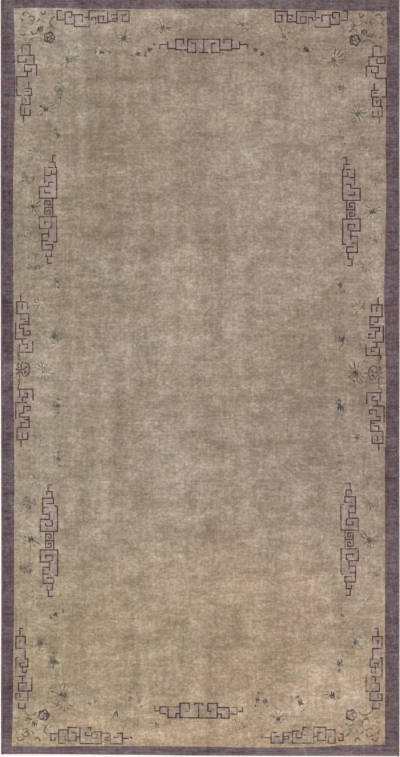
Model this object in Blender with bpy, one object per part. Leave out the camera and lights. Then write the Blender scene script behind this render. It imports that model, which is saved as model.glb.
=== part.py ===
"""A hand-knotted wool rug lying flat: one woven slab, and the overcast cord along each of its long sides.

Metres, +Z up. The origin is on the surface that the rug lies on, under the middle of the rug.
X runs across the rug and Y along it.
"""

import math

import bmesh
import bpy

# Driving dimensions
RUG_WIDTH = 3.050  # over both side cords
RUG_LENGTH = 5.800  # over the tips of the side cords
FOUNDATION_THICK = 0.003  # cotton warps and wefts with the knots tied round them
PILE_HIGH = 0.006  # wool pile, worn down from about twice this
CORD_WIDE = 0.014
CORD_HIGH = 0.0075
CORD_OVERHANG = 0.005  # each side cord runs this far past the pile at both ends
SEAT_GAP = 0.0003  # between the slab and a cord
EDGE_ROLL_WIDE = 0.005  # the pile leans outwards and rounds off over this width
EDGE_ROLL_DROP = 0.0022
SIDE_BORDER_WIDE = 0.100  # from the outside of a side cord to where the field begins
END_BORDER_WIDE = 0.066

# Mesh density
FIELD_COLUMNS = 16
FIELD_ROWS = 32
CORD_ARC_STEPS = 6

# Worked out from those
SLAB_THICK = FOUNDATION_THICK + PILE_HIGH
SLAB_HALF_WIDE = RUG_WIDTH / 2 - CORD_WIDE - SEAT_GAP
SLAB_HALF_LONG = RUG_LENGTH / 2 - CORD_OVERHANG
SIDE_BAND = SIDE_BORDER_WIDE - CORD_WIDE - SEAT_GAP

# How far the sides draw in from a true rectangle, in mm.
# station is the share of the length, from the lower end.
SIDE_DRAW = (
    {"station": 0.00, "left": 3.0, "right": 2.5},
    {"station": 0.08, "left": 3.0, "right": 2.0},
    {"station": 0.25, "left": 5.5, "right": 1.5},
    {"station": 0.42, "left": 3.5, "right": 2.5},
    {"station": 0.55, "left": 1.5, "right": 1.5},
    {"station": 0.68, "left": 0.0, "right": 0.0},
    {"station": 0.82, "left": 0.5, "right": 2.0},
    {"station": 0.93, "left": 0.5, "right": 0.0},
    {"station": 1.00, "left": 0.0, "right": 1.0},
)

# How far the ends draw in, in mm.
# station is the share of the width, from the left side.
END_DRAW = (
    {"station": 0.00, "lower": 14.5, "upper": 1.5},
    {"station": 0.12, "lower": 15.0, "upper": 0.0},
    {"station": 0.30, "lower": 9.0, "upper": 1.0},
    {"station": 0.50, "lower": 3.5, "upper": 2.0},
    {"station": 0.75, "lower": 1.5, "upper": 0.5},
    {"station": 1.00, "lower": 0.0, "upper": 0.0},
)

# Low swells in the pile, which the slab's flat underside doesn't follow. Heights in mm, waves in metres.
SWELLS = (
    {"high": 0.50, "wave_x": 1.90, "wave_y": 2.60, "start": 0.4},
    {"high": 0.35, "wave_x": -1.25, "wave_y": 1.45, "start": 2.1},
    {"high": 0.25, "wave_x": 0.85, "wave_y": -1.05, "start": 4.0},
)

MM = 0.001
BORDER_CELLS = 2  # the rolled edge and the plain band inside it

SAND = (0.352, 0.275, 0.223, 1.0)
PLUM = (0.145, 0.108, 0.117, 1.0)
GREY_PLUM = (0.138, 0.107, 0.117, 1.0)
BROWN_PLUM = (0.162, 0.119, 0.122, 1.0)


def clear_scene():
    for thing in list(bpy.data.objects):
        bpy.data.objects.remove(thing, do_unlink=True)


def wool(name, colour, roughness):
    """A matt dyed wool."""
    made = bpy.data.materials.new(name)
    made.use_nodes = True
    shader = made.node_tree.nodes["Principled BSDF"]
    shader.inputs["Base Color"].default_value = colour
    shader.inputs["Roughness"].default_value = roughness
    shader.inputs["Metallic"].default_value = 0.0
    return made


def drawn_in(rows, column, station):
    """Metres that an edge lies inside the rectangle at a station, eased between the rows of a table."""
    for low, high in zip(rows, rows[1:]):
        if station <= high["station"]:
            share = (station - low["station"]) / (high["station"] - low["station"])
            eased = (1 - math.cos(math.pi * share)) / 2
            return MM * (low[column] + (high[column] - low[column]) * eased)
    return MM * rows[-1][column]


def plan_point(across, along):
    """Where a share of the slab's width and of its length lies, in plan."""
    left = -SLAB_HALF_WIDE + drawn_in(SIDE_DRAW, "left", along)
    right = SLAB_HALF_WIDE - drawn_in(SIDE_DRAW, "right", along)
    lower = -SLAB_HALF_LONG + drawn_in(END_DRAW, "lower", across)
    upper = SLAB_HALF_LONG - drawn_in(END_DRAW, "upper", across)
    return left + (right - left) * across, lower + (upper - lower) * along


def swell(x, y):
    """Height of the pile's low swells over its mean plane."""
    return sum(
        MM * row["high"] * math.sin(math.tau * (x / row["wave_x"] + y / row["wave_y"]) + row["start"])
        for row in SWELLS
    )


def stations(field_steps, band, length):
    """Shares from 0 to 1 for grid lines: rim, rolled edge, border's inner line, and even field steps."""
    roll = EDGE_ROLL_WIDE / length
    edge = band / length
    field = [edge + (1 - 2 * edge) * step / field_steps for step in range(field_steps + 1)]
    return [0.0, roll, *field, 1 - roll, 1.0]


def stations_across():
    return stations(FIELD_COLUMNS, SIDE_BAND, 2 * SLAB_HALF_WIDE)


def stations_along():
    return stations(FIELD_ROWS, END_BORDER_WIDE, 2 * SLAB_HALF_LONG)


def object_of(bm, name, *materials):
    mesh = bpy.data.meshes.new(name)
    bm.to_mesh(mesh)
    bm.free()
    for material in materials:
        mesh.materials.append(material)
    made = bpy.data.objects.new(name, mesh)
    bpy.context.scene.collection.objects.link(made)
    return made


def in_border(cell, cells):
    return cell < BORDER_CELLS or cell >= cells - BORDER_CELLS


def grid_faces(bm, grid, facing_up):
    """Skin a grid of points, with the second material on the cells of the border."""
    rows, columns = len(grid) - 1, len(grid[0]) - 1
    for row in range(rows):
        low, high = grid[row], grid[row + 1]
        for column in range(columns):
            corners = (low[column], low[column + 1], high[column + 1], high[column])
            face = bm.faces.new(corners if facing_up else corners[::-1])
            face.material_index = int(in_border(row, rows) or in_border(column, columns))


def rim_of(grid):
    """The outermost points of a grid in order, anticlockwise from above."""
    right = [row[-1] for row in grid[1:]]
    upper = list(reversed(grid[-1][:-1]))
    left = [row[0] for row in reversed(grid[1:-1])]
    return list(grid[0]) + right + upper + left


def woven_slab(field_wool, border_wool):
    """Foundation and pile as one solid: flat below, low swells above, rounded off at the rim."""
    across = stations_across()
    along = stations_along()
    bm = bmesh.new()
    top, foot = [], []
    for row, v in enumerate(along):
        top_row, foot_row = [], []
        for column, u in enumerate(across):
            x, y = plan_point(u, v)
            at_rim = row in (0, len(along) - 1) or column in (0, len(across) - 1)
            drop = EDGE_ROLL_DROP if at_rim else 0.0
            top_row.append(bm.verts.new((x, y, SLAB_THICK + swell(x, y) - drop)))
            foot_row.append(bm.verts.new((x, y, 0.0)))
        top.append(top_row)
        foot.append(foot_row)
    grid_faces(bm, top, facing_up=True)
    grid_faces(bm, foot, facing_up=False)
    upper_rim, lower_rim = rim_of(top), rim_of(foot)
    for k in range(len(upper_rim)):
        following = (k + 1) % len(upper_rim)
        face = bm.faces.new((lower_rim[k], lower_rim[following], upper_rim[following], upper_rim[k]))
        face.material_index = 1
    return object_of(bm, "rug", field_wool, border_wool)


def cord_section():
    """(out, up) points of a side cord's section, from its foot at the slab round to its top at the slab."""
    flat = 0.4 * CORD_WIDE
    reach = CORD_WIDE - flat
    middle = CORD_HIGH / 2
    points = [(0.0, 0.0)]
    for step in range(CORD_ARC_STEPS + 1):
        turn = -math.pi / 2 + math.pi * step / CORD_ARC_STEPS
        points.append((flat + reach * math.cos(turn), middle + middle * math.sin(turn)))
    points.append((0.0, CORD_HIGH))
    return points


def cord_line(across):
    """(x, y, size) along one side of the slab, with a rounded tip past each of its ends."""
    line = [(*plan_point(across, v), 1.0) for v in stations_along()]
    (first_x, first_y, _), (last_x, last_y, _) = line[0], line[-1]
    tip = [(0.6 * CORD_OVERHANG, 0.86), (CORD_OVERHANG, 0.55)]
    before = [(first_x, first_y - past, size) for past, size in reversed(tip)]
    after = [(last_x, last_y + past, size) for past, size in tip]
    return before + line + after


def side_cord(name, across, material):
    """The overcast edge: outer warps wrapped in wool, flat where they meet the slab and the floor."""
    outward = 1.0 if across > 0.5 else -1.0
    section = cord_section()
    bm = bmesh.new()
    rings = []
    for x, y, size in cord_line(across):
        seat = x + outward * SEAT_GAP
        rings.append([bm.verts.new((seat + outward * size * out, y, size * up)) for out, up in section])
    for near, far in zip(rings, rings[1:]):
        for k in range(len(section)):
            following = (k + 1) % len(section)
            bm.faces.new((near[k], near[following], far[following], far[k]))
    bm.faces.new(rings[0])
    bm.faces.new(rings[-1])
    bmesh.ops.recalc_face_normals(bm, faces=bm.faces[:])
    return object_of(bm, name, material)


def main():
    clear_scene()
    woven_slab(wool("field_wool", SAND, 0.95), wool("border_wool", PLUM, 0.93))
    side_cord("selvedge_left", 0.0, wool("left_cord_wool", GREY_PLUM, 0.90))
    side_cord("selvedge_right", 1.0, wool("right_cord_wool", BROWN_PLUM, 0.90))


main()
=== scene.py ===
"""Looks of a hand-knotted wool rug: worn pile, knotted frets and flowers, and overcast side cords.

Laid out as an add-on and run as a script. Lengths are in metres. On the rug, X runs across it and Y along it,
both from its middle, as on a chart for a loom: Loom turns such a place into the place on the finished rug.
"""

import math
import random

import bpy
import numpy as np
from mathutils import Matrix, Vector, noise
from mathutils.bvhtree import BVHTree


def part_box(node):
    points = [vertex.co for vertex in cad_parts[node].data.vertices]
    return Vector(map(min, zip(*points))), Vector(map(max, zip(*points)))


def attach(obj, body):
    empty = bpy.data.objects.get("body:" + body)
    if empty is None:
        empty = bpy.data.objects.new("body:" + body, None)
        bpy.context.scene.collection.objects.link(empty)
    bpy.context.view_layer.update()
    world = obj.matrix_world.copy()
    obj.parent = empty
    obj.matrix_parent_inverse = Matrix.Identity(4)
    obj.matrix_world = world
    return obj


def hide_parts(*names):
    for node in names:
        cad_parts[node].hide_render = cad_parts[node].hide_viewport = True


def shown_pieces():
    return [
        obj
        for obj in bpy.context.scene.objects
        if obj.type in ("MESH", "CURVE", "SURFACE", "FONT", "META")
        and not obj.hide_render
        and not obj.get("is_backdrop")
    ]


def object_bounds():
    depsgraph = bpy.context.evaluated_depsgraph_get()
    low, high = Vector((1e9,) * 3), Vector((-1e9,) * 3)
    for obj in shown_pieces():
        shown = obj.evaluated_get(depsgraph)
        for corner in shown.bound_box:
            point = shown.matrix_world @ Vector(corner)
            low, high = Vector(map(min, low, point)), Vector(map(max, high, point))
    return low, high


bl_info = {
    "name": "Hand-knotted rug",
    "version": (1, 0, 0),
    "blender": (4, 5, 0),
    "location": "3D View > Sidebar > Rug",
    "description": "Knots a worn wool rug round its packed solids, and sets it on a studio floor",
    "category": "Add Mesh",
}

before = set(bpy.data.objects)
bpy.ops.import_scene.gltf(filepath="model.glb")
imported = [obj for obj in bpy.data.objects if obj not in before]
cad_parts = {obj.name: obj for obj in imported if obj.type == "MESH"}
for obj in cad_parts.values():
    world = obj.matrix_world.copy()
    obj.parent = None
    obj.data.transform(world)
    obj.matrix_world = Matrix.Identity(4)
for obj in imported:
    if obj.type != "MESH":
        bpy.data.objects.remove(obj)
CAD_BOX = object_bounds()

MM = 0.001
CM = 0.01
UP = Vector((0.0, 0.0, 1.0))


def table(columns, *rows):
    """Rows as dictionaries, from the names of their columns and their values."""
    names = columns.split()
    return tuple(dict(zip(names, row)) for row in rows)


def tables(columns, **rows_by_piece):
    """A table for each piece, all with the same columns."""
    return {piece: table(columns, *rows) for piece, rows in rows_by_piece.items()}


SLAB_LOW, SLAB_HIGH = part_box("rug")
SLAB_WIDE = SLAB_HIGH[0] - SLAB_LOW[0]
SLAB_LONG = SLAB_HIGH[1] - SLAB_LOW[1]

# The photograph's frame, and how much of the floor one of its pixels covers
PICTURE_HIGH = 757
PIXEL = 7.652 * MM
PICTURE_MIDDLE = (-1.2 * MM, -6.6 * MM)  # place on the rug that is seen at the middle of the frame

# Width of the plum border in mm, from the outside of a side cord to the field.
# station is the share of the length, from the lower end.
SIDE_BORDERS = table(
    "station left right",
    (0.000, 82.5, 107.5),
    (0.090, 89.5, 107.0),
    (0.190, 95.0, 109.0),
    (0.290, 97.5, 108.5),
    (0.390, 99.5, 108.0),
    (0.437, 97.5, 99.5),
    (0.490, 93.5, 99.5),
    (0.560, 96.0, 109.5),
    (0.620, 95.0, 116.5),
    (0.690, 92.0, 107.5),
    (0.755, 93.0, 99.5),
    (0.820, 101.5, 103.0),
    (0.885, 111.0, 102.0),
    (0.955, 103.5, 94.5),
    (1.000, 98.0, 100.0),
)

# Width of the plum border at the ends, in mm. station is the share of the width, from the left side.
END_BORDERS = table(
    "station lower upper",
    (0.00, 63.0, 67.0),
    (0.11, 55.5, 66.0),
    (0.24, 65.0, 73.5),
    (0.36, 67.0, 73.5),
    (0.49, 68.0, 69.0),
    (0.61, 63.5, 71.5),
    (0.74, 63.0, 75.0),
    (0.80, 68.0, 83.5),
    (0.87, 84.0, 89.0),
    (1.00, 86.0, 93.0),
)

# The rolled edge of the pile: how far in from the rim, and how far below the pile's top, in mm
EDGE_ROLL = table(
    "inset drop",
    (0.0, 3.2),
    (1.0, 1.5),
    (2.8, 0.5),
    (6.0, 0.0),
)

# Fret charts, in cells of one line's width. at is where a stroke starts, along and across the fret.
# moves are E and W along it, N and S across it, each with a number of cells.
FRET_LYING = table(
    "at moves",
    ((3, 12), "W3 S7 E6"),
    ((9, 7), "E2 N4 W5 S9 E7"),
    ((11, 9), "E8 S5"),
    ((13, 9), "S9 E11 N1"),
    ((21, 7), "E3"),
    ((24, 5), "N7 E14 S2"),
    ((26, 5), "N2 E3 S5"),
    ((35, 5), "N3 W4 S5 E7 N6"),
    ((38, 4), "E7 N5 W4 S1"),
    ((42, 6), "E1"),
    ((45, 9), "N3 E9 S8 W5 N5 E3"),
)
FRET_LYING_LOWER = table(
    "at moves",
    ((3, 8), "N2 W3 S5 E6"),
    ((9, 7), "E2 N5 W5 S10 E7"),
    ((16, 4), "E3 N6 W6 S10 E9 N7 W3"),
    ((22, 6), "N6 E16 S2"),
    ((26, 4), "N2 E5"),
    ((28, 0), "E2 N2"),
    ((31, 4), "N4 E4 S3"),
    ((33, 3), "E5 N5"),
    ((38, 4), "E7 N8 E9 S8 W4"),
    ((44, 7), "W3 N2 E3"),
    ((48, 7), "E3"),
    ((54, 8), "E4"),
    ((60, 7), "E1 N1"),
)
FRET_STANDING = table(
    "at moves",
    ((6, 4), "W6 N6 E7"),
    ((10, 7), "E3 S6 W5 N12 E7"),
    ((23, 15), "W8 S9 E5 N5 W2"),
    ((20, 8), "E4 S8 E14 N3"),
    ((28, 9), "E5"),
    ((33, 6), "N5 E5 S5"),
    ((35, 7), "N2"),
    ((38, 10), "E7 S6 W5"),
    ((41, 6), "N1 E2"),
    ((45, 4), "S1 E8 N7 W4"),
    ((48, 6), "E3"),
    ((53, 5), "E5"),
)
FRET_STANDING_LOWER = table(
    "at moves",
    ((4, 2), "W4 N5 E4"),
    ((8, 3), "E3 S3 W5 N9 E7"),
    ((17, 8), "E2 S6 W6 N10 E10"),
    ((19, 5), "E5"),
    ((24, 7), "S7 E14 N1"),
    ((27, 5), "E5"),
    ((27, 6), "N2 E2"),
    ((34, 6), "S3 W3 N6 E6 S2 E8"),
    ((45, 7), "S7 E9 N7 W5"),
    ((49, 3), "E2"),
    ((54, 3), "E6 N2"),
)
FRET_SHORT = table(
    "at moves",
    ((0, 2), "E3"),
    ((9, 3), "W6 N10 E8"),
    ((12, 5), "W3 N4 W3 S2"),
    ((13, 8), "S8 E12"),
    ((19, 9), "N2 W3 S5 E5 S3 E3 N7 E2"),
    ((26, 7), "N3 E6 S9 E9 N8 W5"),
    ((32, 4), "W4 N3"),
    ((36, 5), "E3"),
    ((41, 4), "E5"),
)
# The next two are halves, which are mirrored about where along is 0.
FRET_UPPER_END_HALF = table(
    "at moves",
    ((0, 1), "N10 E12 S10 W6 N7 E3"),
    ((0, 1), "E3"),
    ((12, 3), "E9 N8 W6 S3"),
    ((21, 4), "E6 N5"),
    ((27, 7), "E6 S3"),
)
FRET_LOWER_END_HALF = table(
    "at moves",
    ((0, 0), "N11 E14 S11 W7 N6 E2"),
    ((0, 0), "E3 N1"),
    ((14, 8), "E3 N3 E6 S8 W9"),
    ((23, 3), "E6 N5 W4"),
    ((29, 6), "E4 S3"),
)
# A side fret is a block, mirrored about where along is 0, with an arm on each end of it.
FRET_SIDE_BLOCK = table(
    "at moves",
    ((0, 4), "N6"),
    ((0, 10), "E7"),
    ((0, 4), "E5 N4 W3 S2 E1"),
)
FRET_SIDE_ARM = table(
    "at moves",
    ((7, 0), "N13 E18 S4 E3"),
    ((7, 0), "E9 N7 E3 N3"),
    ((13, 4), "W2 N4"),
    ((19, 4), "E11"),
    ((24, 4), "N4"),
    ((25, 13), "E5 S1 E4 S4"),
    ((30, 7), "N3"),
    ((34, 10), "E5 N2"),
)
FRET_SIDE_LONG_ARM = table(
    "at moves",
    ((7, 0), "N13 E19 S2"),
    ((7, 0), "E9 N7 E4"),
    ((13, 4), "W2 N5 E4 S1"),
    ((20, 7), "E2"),
    ((20, 7), "S5 E12 N8 W4 S5"),
    ((25, 2), "N4"),
    ((32, 9), "E5 S4 W2"),
    ((37, 6), "E5 N3"),
)

# Where each fret lies, by piece, in cm from the rug's middle: the middle of its chart's cell at 0, 0.
# runs is the way along the chart, and rises is the way across it.
FRETS = tables(
    "chart x y runs rises",
    frets_upper_left=(
        ("lying", -109.4, 268.6, "+x", "+y"),
        ("standing", -140.4, 254.8, "-y", "+x"),
        ("side upper", -123.1, 129.9, "+y", "+x"),
        ("short", -141.6, 15.8, "+y", "+x"),
    ),
    frets_upper_right=(
        ("lying", 112.6, 268.2, "-x", "+y"),
        ("standing", 142.3, 253.5, "-y", "-x"),
        ("side upper", 122.5, 128.6, "+y", "-x"),
        ("short", 140.3, 13.9, "+y", "-x"),
    ),
    frets_lower_left=(
        ("lying lower", -114.7, -269.0, "+x", "-y"),
        ("standing lower", -141.3, -254.2, "+y", "+x"),
        ("side lower", -122.8, -125.9, "-y", "+x"),
        ("short", -141.4, -6.6, "-y", "+x"),
    ),
    frets_lower_right=(
        ("lying lower", 109.6, -267.6, "-x", "-y"),
        ("standing lower", 139.3, -253.3, "+y", "-x"),
        ("side lower", 121.0, -123.9, "-y", "-x"),
        ("short", 141.0, -8.4, "-y", "-x"),
    ),
    fret_upper_end=(("upper end", 2.7, 247.9, "+x", "+y"),),
    fret_lower_end=(("lower end", -1.5, -249.4, "+x", "-y"),),
)

# Chrysanthemums, by piece. x and y are the heart's middle, reach is how far the petals go, and size is half
# the heart's width, all in cm. fan is the way in degrees that the petals are longest. pale and dark are the
# shares of pale and of dark ones.
CHRYSANTHEMUMS = tables(
    "x y reach fan heart size haze pale dark",
    chrysanthemums_upper_left=(
        (-100.1, 243.0, 9.0, 110, "slate", 2.9, "teal", 0.9, 0.5),
        (-58.7, 259.6, 7.5, 80, "brown", 1.9, "teal", 0.6, 0.6),
        (-28.8, 268.2, 7.0, 90, "line", 1.6, "lilac", 0.5, 0.7),
        (-118.0, 205.5, 8.0, 290, "indigo", 2.1, "lilac", 0.6, 0.6),
        (-126.0, 172.2, 6.5, 270, "", 1.0, "", 0.6, 0.4),
        (-128.1, 130.6, 7.0, 10, "line", 1.3, "teal", 0.4, 0.6),
        (-127.5, 86.0, 7.0, 90, "", 1.0, "", 0.4, 0.5),
        (-122.5, 56.0, 6.5, 60, "", 1.0, "", 0.8, 0.7),
    ),
    chrysanthemums_left_middle=((-119.5, 4.9, 9.5, 200, "slate", 2.3, "teal", 1.0, 0.7),),
    chrysanthemums_lower_left=(
        (-123.9, -45.0, 6.0, 90, "haze", 2.2, "lilac", 0.3, 0.3),
        (-125.5, -80.5, 6.5, 90, "", 1.0, "", 0.4, 0.15),
        (-130.0, -124.5, 8.0, 300, "indigo", 2.7, "haze", 0.6, 0.7),
        (-126.0, -168.0, 6.5, 90, "", 1.0, "lilac", 0.4, 0.3),
        (-122.8, -203.5, 7.0, 270, "slate", 2.6, "haze", 0.6, 0.4),
        (-105.8, -244.8, 10.0, 120, "indigo", 3.3, "teal", 1.0, 0.9),
        (-64.6, -258.5, 6.0, 270, "line", 2.2, "cream", 0.4, 0.3),
        (-33.0, -266.7, 7.0, 270, "line", 2.0, "cream", 0.5, 0.3),
    ),
    chrysanthemums_upper_right=(
        (102.0, 243.1, 9.5, 50, "slate", 2.0, "lilac", 0.7, 0.6),
        (64.0, 261.2, 7.5, 110, "brown", 2.0, "cream", 0.5, 0.5),
        (32.6, 270.0, 6.0, 270, "brown", 1.4, "", 0.6, 0.6),
        (120.6, 202.4, 7.5, 20, "slate", 2.2, "haze", 0.8, 0.7),
        (127.2, 173.0, 6.5, 270, "", 1.0, "", 0.5, 0.4),
        (131.4, 127.4, 8.0, 100, "slate", 2.5, "haze", 0.7, 0.5),
        (127.0, 84.5, 6.0, 90, "", 1.0, "", 0.5, 0.6),
        (121.5, 53.0, 6.5, 90, "", 1.0, "", 0.6, 0.6),
    ),
    chrysanthemums_right_middle=((119.1, 3.4, 10.5, 45, "line", 2.6, "haze", 0.4, 1.0),),
    chrysanthemums_lower_right=(
        (120.6, -45.3, 4.0, 90, "brown", 1.9, "", 0.3, 0.3),
        (125.5, -78.5, 8.0, 90, "", 1.0, "", 0.8, 0.25),
        (129.5, -124.2, 8.5, 90, "brown", 1.8, "teal", 0.9, 0.6),
        (126.0, -168.0, 6.5, 90, "", 1.0, "", 0.8, 0.15),
        (119.1, -202.7, 6.5, 0, "slate", 2.0, "lilac", 0.6, 0.4),
        (100.9, -242.7, 9.0, 60, "line", 2.5, "cream", 1.0, 0.6),
        (60.0, -261.4, 7.0, 90, "line", 1.8, "cream", 0.5, 0.6),
        (29.6, -267.0, 6.5, 90, "", 1.0, "", 0.6, 0.6),
    ),
)

# Sprigs, by piece: middle and half the core's width in cm, the way their buds trail in degrees, and the dyes
SPRIGS = tables(
    "x y trail core size haze",
    sprigs_upper_left=(
        (-108.0, 220.0, -90, "slate", 1.6, "teal"),
        (-75.8, 249.0, 0, "slate", 1.7, "cream"),
        (-47.5, 247.8, 10, "brown", 2.0, ""),
        (-38.8, 251.0, 60, "line", 1.8, ""),
        (-108.5, 185.0, -70, "brown", 1.5, ""),
        (-109.5, 73.5, 90, "slate", 2.1, "haze"),
        (-111.0, 30.5, 90, "indigo", 2.6, "teal"),
    ),
    sprigs_upper_right=(
        (108.0, 222.0, 90, "line", 3.0, "haze"),
        (81.3, 251.2, 190, "bark", 2.3, "olive"),
        (42.0, 251.0, -35, "line", 1.7, ""),
        (47.6, 247.6, -20, "indigo", 1.8, ""),
        (108.8, 184.0, -65, "brown", 1.5, ""),
        (107.0, 71.0, -70, "brown", 1.8, ""),
        (108.0, 29.0, 90, "indigo", 3.0, "haze"),
    ),
    sprigs_lower_left=(
        (-109.0, -22.0, -90, "slate", 1.8, "teal"),
        (-109.0, -63.0, -90, "slate", 1.8, "haze"),
        (-111.0, -182.5, 20, "brown", 1.9, ""),
        (-112.5, -218.5, 100, "slate", 2.6, "teal"),
        (-80.5, -248.5, 35, "slate", 1.2, "cream"),
        (-53.5, -246.6, 90, "line", 1.8, ""),
        (-46.8, -248.0, 100, "brown", 2.0, "cream"),
    ),
    sprigs_lower_right=(
        (107.5, -22.5, -75, "indigo", 2.6, "haze"),
        (106.0, -65.0, -90, "haze", 2.0, "lilac"),
        (109.0, -182.0, -90, "brown", 1.3, ""),
        (107.0, -219.0, 80, "indigo", 2.6, "cream"),
        (77.0, -249.5, 115, "slate", 2.3, "cream"),
        (43.8, -246.8, 80, "line", 1.8, ""),
        (49.8, -247.8, 110, "brown", 2.0, ""),
    ),
)

# Butterflies, by piece: middle in cm, and the way they fly in degrees
BUTTERFLIES = tables(
    "x y flies",
    butterflies_left=(
        (-132.5, 151.5, 70),
        (-134.0, 107.0, 110),
        (-132.0, -97.5, 60),
        (-133.5, -148.0, 115),
    ),
    butterflies_right=(
        (135.5, 151.5, 120),
        (133.5, 107.0, 60),
        (132.0, -97.5, 110),
        (133.0, -148.0, 70),
    ),
)

# Corners, by piece: whether each is left and upper, its point in cm, and the small flower's dye and bed
CORNERS = tables(
    "left upper x y flower bed",
    corner_upper_left=((True, True, -136.0, 281.0, "indigo", "lilac"),),
    corner_upper_right=((False, True, 139.0, 279.0, "slate", "teal"),),
    corner_lower_left=((True, False, -140.6, -280.3, "line", "cream"),),
    corner_lower_right=((False, False, 136.4, -279.0, "indigo", "teal"),),
)

# Roundels between the short frets, by piece: middle in cm, and which way each points
ROUNDELS = tables(
    "x y points",
    roundel_left=((-135.4, 5.6, 1),),
    roundel_right=((133.8, 3.6, -1),),
)

# Soft faded or soiled patches in the field, and a painted crease highlight: middle and reach in cm, and the
# change in lightness and in warmth
PATCHES_AND_CREASE_HIGHLIGHT = table(
    "x y across along lift warm",
    # A pale streak across the field: a painted highlight along a crease
    (0.0, 78.0, 62.0, 26.0, 0.06, 0.00),
    (-62.0, 150.0, 70.0, 62.0, -0.07, 0.02),
    (78.0, 20.0, 62.0, 60.0, -0.06, 0.04),
    (92.0, 165.0, 55.0, 60.0, 0.05, 0.00),
    (20.0, -145.0, 120.0, 42.0, 0.12, 0.04),
    (-10.0, -208.0, 100.0, 34.0, -0.07, 0.00),
    (90.0, -238.0, 38.0, 32.0, 0.23, 0.00),
    (-30.0, 232.0, 60.0, 34.0, -0.05, 0.00),
    (0.0, -276.0, 185.0, 18.0, 0.26, 0.05),
    (82.0, 251.0, 76.0, 22.0, -0.18, 0.02),
    (136.0, 262.0, 26.0, 34.0, -0.12, 0.00),
    (141.0, 212.0, 20.0, 52.0, -0.14, 0.00),
    (-141.0, 222.0, 18.0, 46.0, -0.08, -0.03),
    (2.0, 254.0, 54.0, 14.0, -0.12, 0.00),
    (134.0, 4.0, 22.0, 30.0, -0.18, 0.00),
    (-128.0, -262.0, 30.0, 30.0, -0.09, -0.04),
    (-118.0, 268.0, 48.0, 32.0, 0.12, -0.09),
    (134.0, -205.0, 22.0, 75.0, 0.19, -0.03),
    (92.0, -150.0, 18.0, 80.0, 0.07, 0.00),
    (30.0, 118.0, 120.0, 36.0, -0.09, -0.02),
    (-134.0, 98.0, 24.0, 24.0, -0.09, -0.03),
    (13.0, 245.0, 24.0, 42.0, -0.10, 0.00),
    (13.0, -34.0, 45.0, 22.0, 0.07, 0.03),
    (-115.0, 20.0, 14.0, 16.0, -0.08, 0.00),
    (10.0, 140.0, 34.0, 130.0, -0.08, 0.00),
    (-92.0, -122.0, 26.0, 34.0, -0.14, 0.00),
    (-92.0, -192.0, 26.0, 28.0, -0.08, 0.00),
    (30.0, -42.0, 130.0, 24.0, 0.07, 0.00),
    (52.0, -92.0, 90.0, 44.0, 0.06, 0.00),
    (-24.0, -132.0, 32.0, 44.0, 0.07, 0.00),
    (80.0, 62.0, 34.0, 44.0, 0.07, 0.00),
    (45.0, -238.0, 30.0, 16.0, -0.13, 0.03),
    (-55.0, -238.0, 32.0, 18.0, -0.08, 0.00),
    (121.0, -124.0, 16.0, 50.0, 0.06, 0.00),
    (-93.0, 272.0, 46.0, 16.0, 0.07, 0.00),
)

# Fold creases and thin worn lines: ends in cm, half their width in mm, and the change in lightness. Pale
# lines are worn pile and painted highlight, and the dark one is painted shade in a fold.
CREASE_WEAR_AND_PAINTED_LIGHT = table(
    "from to half lift",
    ((-141.0, -247.5), (-106.0, -246.0), 3.0, 0.22),
    ((-54.0, -259.0), (-6.0, -254.5), 3.5, 0.30),
    ((-4.0, -254.5), (8.0, -261.0), 3.5, -0.32),
    ((-123.0, -286.0), (-91.0, -286.8), 2.5, 0.45),
    ((-152.0, 240.0), (-141.0, 240.6), 2.5, 0.20),
    ((140.0, -211.5), (152.0, -213.0), 2.5, 0.25),
)


def light_of(red, green, blue):
    """A colour as it is seen, from 0 to 255 each, as the light that the shader works in."""
    channels = (red / 255, green / 255, blue / 255)
    return tuple(c / 12.92 if c <= 0.04045 else ((c + 0.055) / 1.055) ** 2.4 for c in channels)


def of_colour(name, description, red, green, blue):
    return bpy.props.FloatVectorProperty(
        name=name,
        description=description,
        subtype="COLOR",
        size=3,
        min=0.0,
        max=1.0,
        default=light_of(red, green, blue),
    )


def of_length(name, description, default):
    return bpy.props.FloatProperty(
        name=name,
        description=description,
        default=default,
        min=0.0,
        subtype="DISTANCE",
        unit="LENGTH",
    )


def of_strength(name, description, default):
    return bpy.props.FloatProperty(name=name, description=description, default=default, min=0.0)


def of_turn(name, description, degrees):
    return bpy.props.FloatProperty(
        name=name,
        description=description,
        default=math.radians(degrees),
        subtype="ANGLE",
        unit="ROTATION",
    )


def of_share(name, description, default):
    return bpy.props.FloatProperty(
        name=name,
        description=description,
        default=default,
        min=0.0,
        max=1.0,
        subtype="FACTOR",
    )


class RugSizes(bpy.types.PropertyGroup):
    """Sizes of the weave."""

    knot: of_length("Knot", "Distance from one knot to the next", 3.4 * MM)
    fret_line: of_length("Fret line", "Width of a line in the frets, which is three knots", 10.2 * MM)
    ground_step: of_length("Ground step", "Spacing of the ground's mesh", 14.5 * MM)
    pattern_proud: of_length("Pattern proud", "How far the pattern stands over the worn ground", 0.25 * MM)
    unevenness: of_length("Unevenness", "Height of the pile's small swells", 0.35 * MM)
    wander: of_length("Wander", "How far the weave's lines wander from straight", 2.0 * MM)
    wrap: of_length("Wrap", "Distance from one turn of a side cord's yarn to the next", 4.6 * MM)


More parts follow.
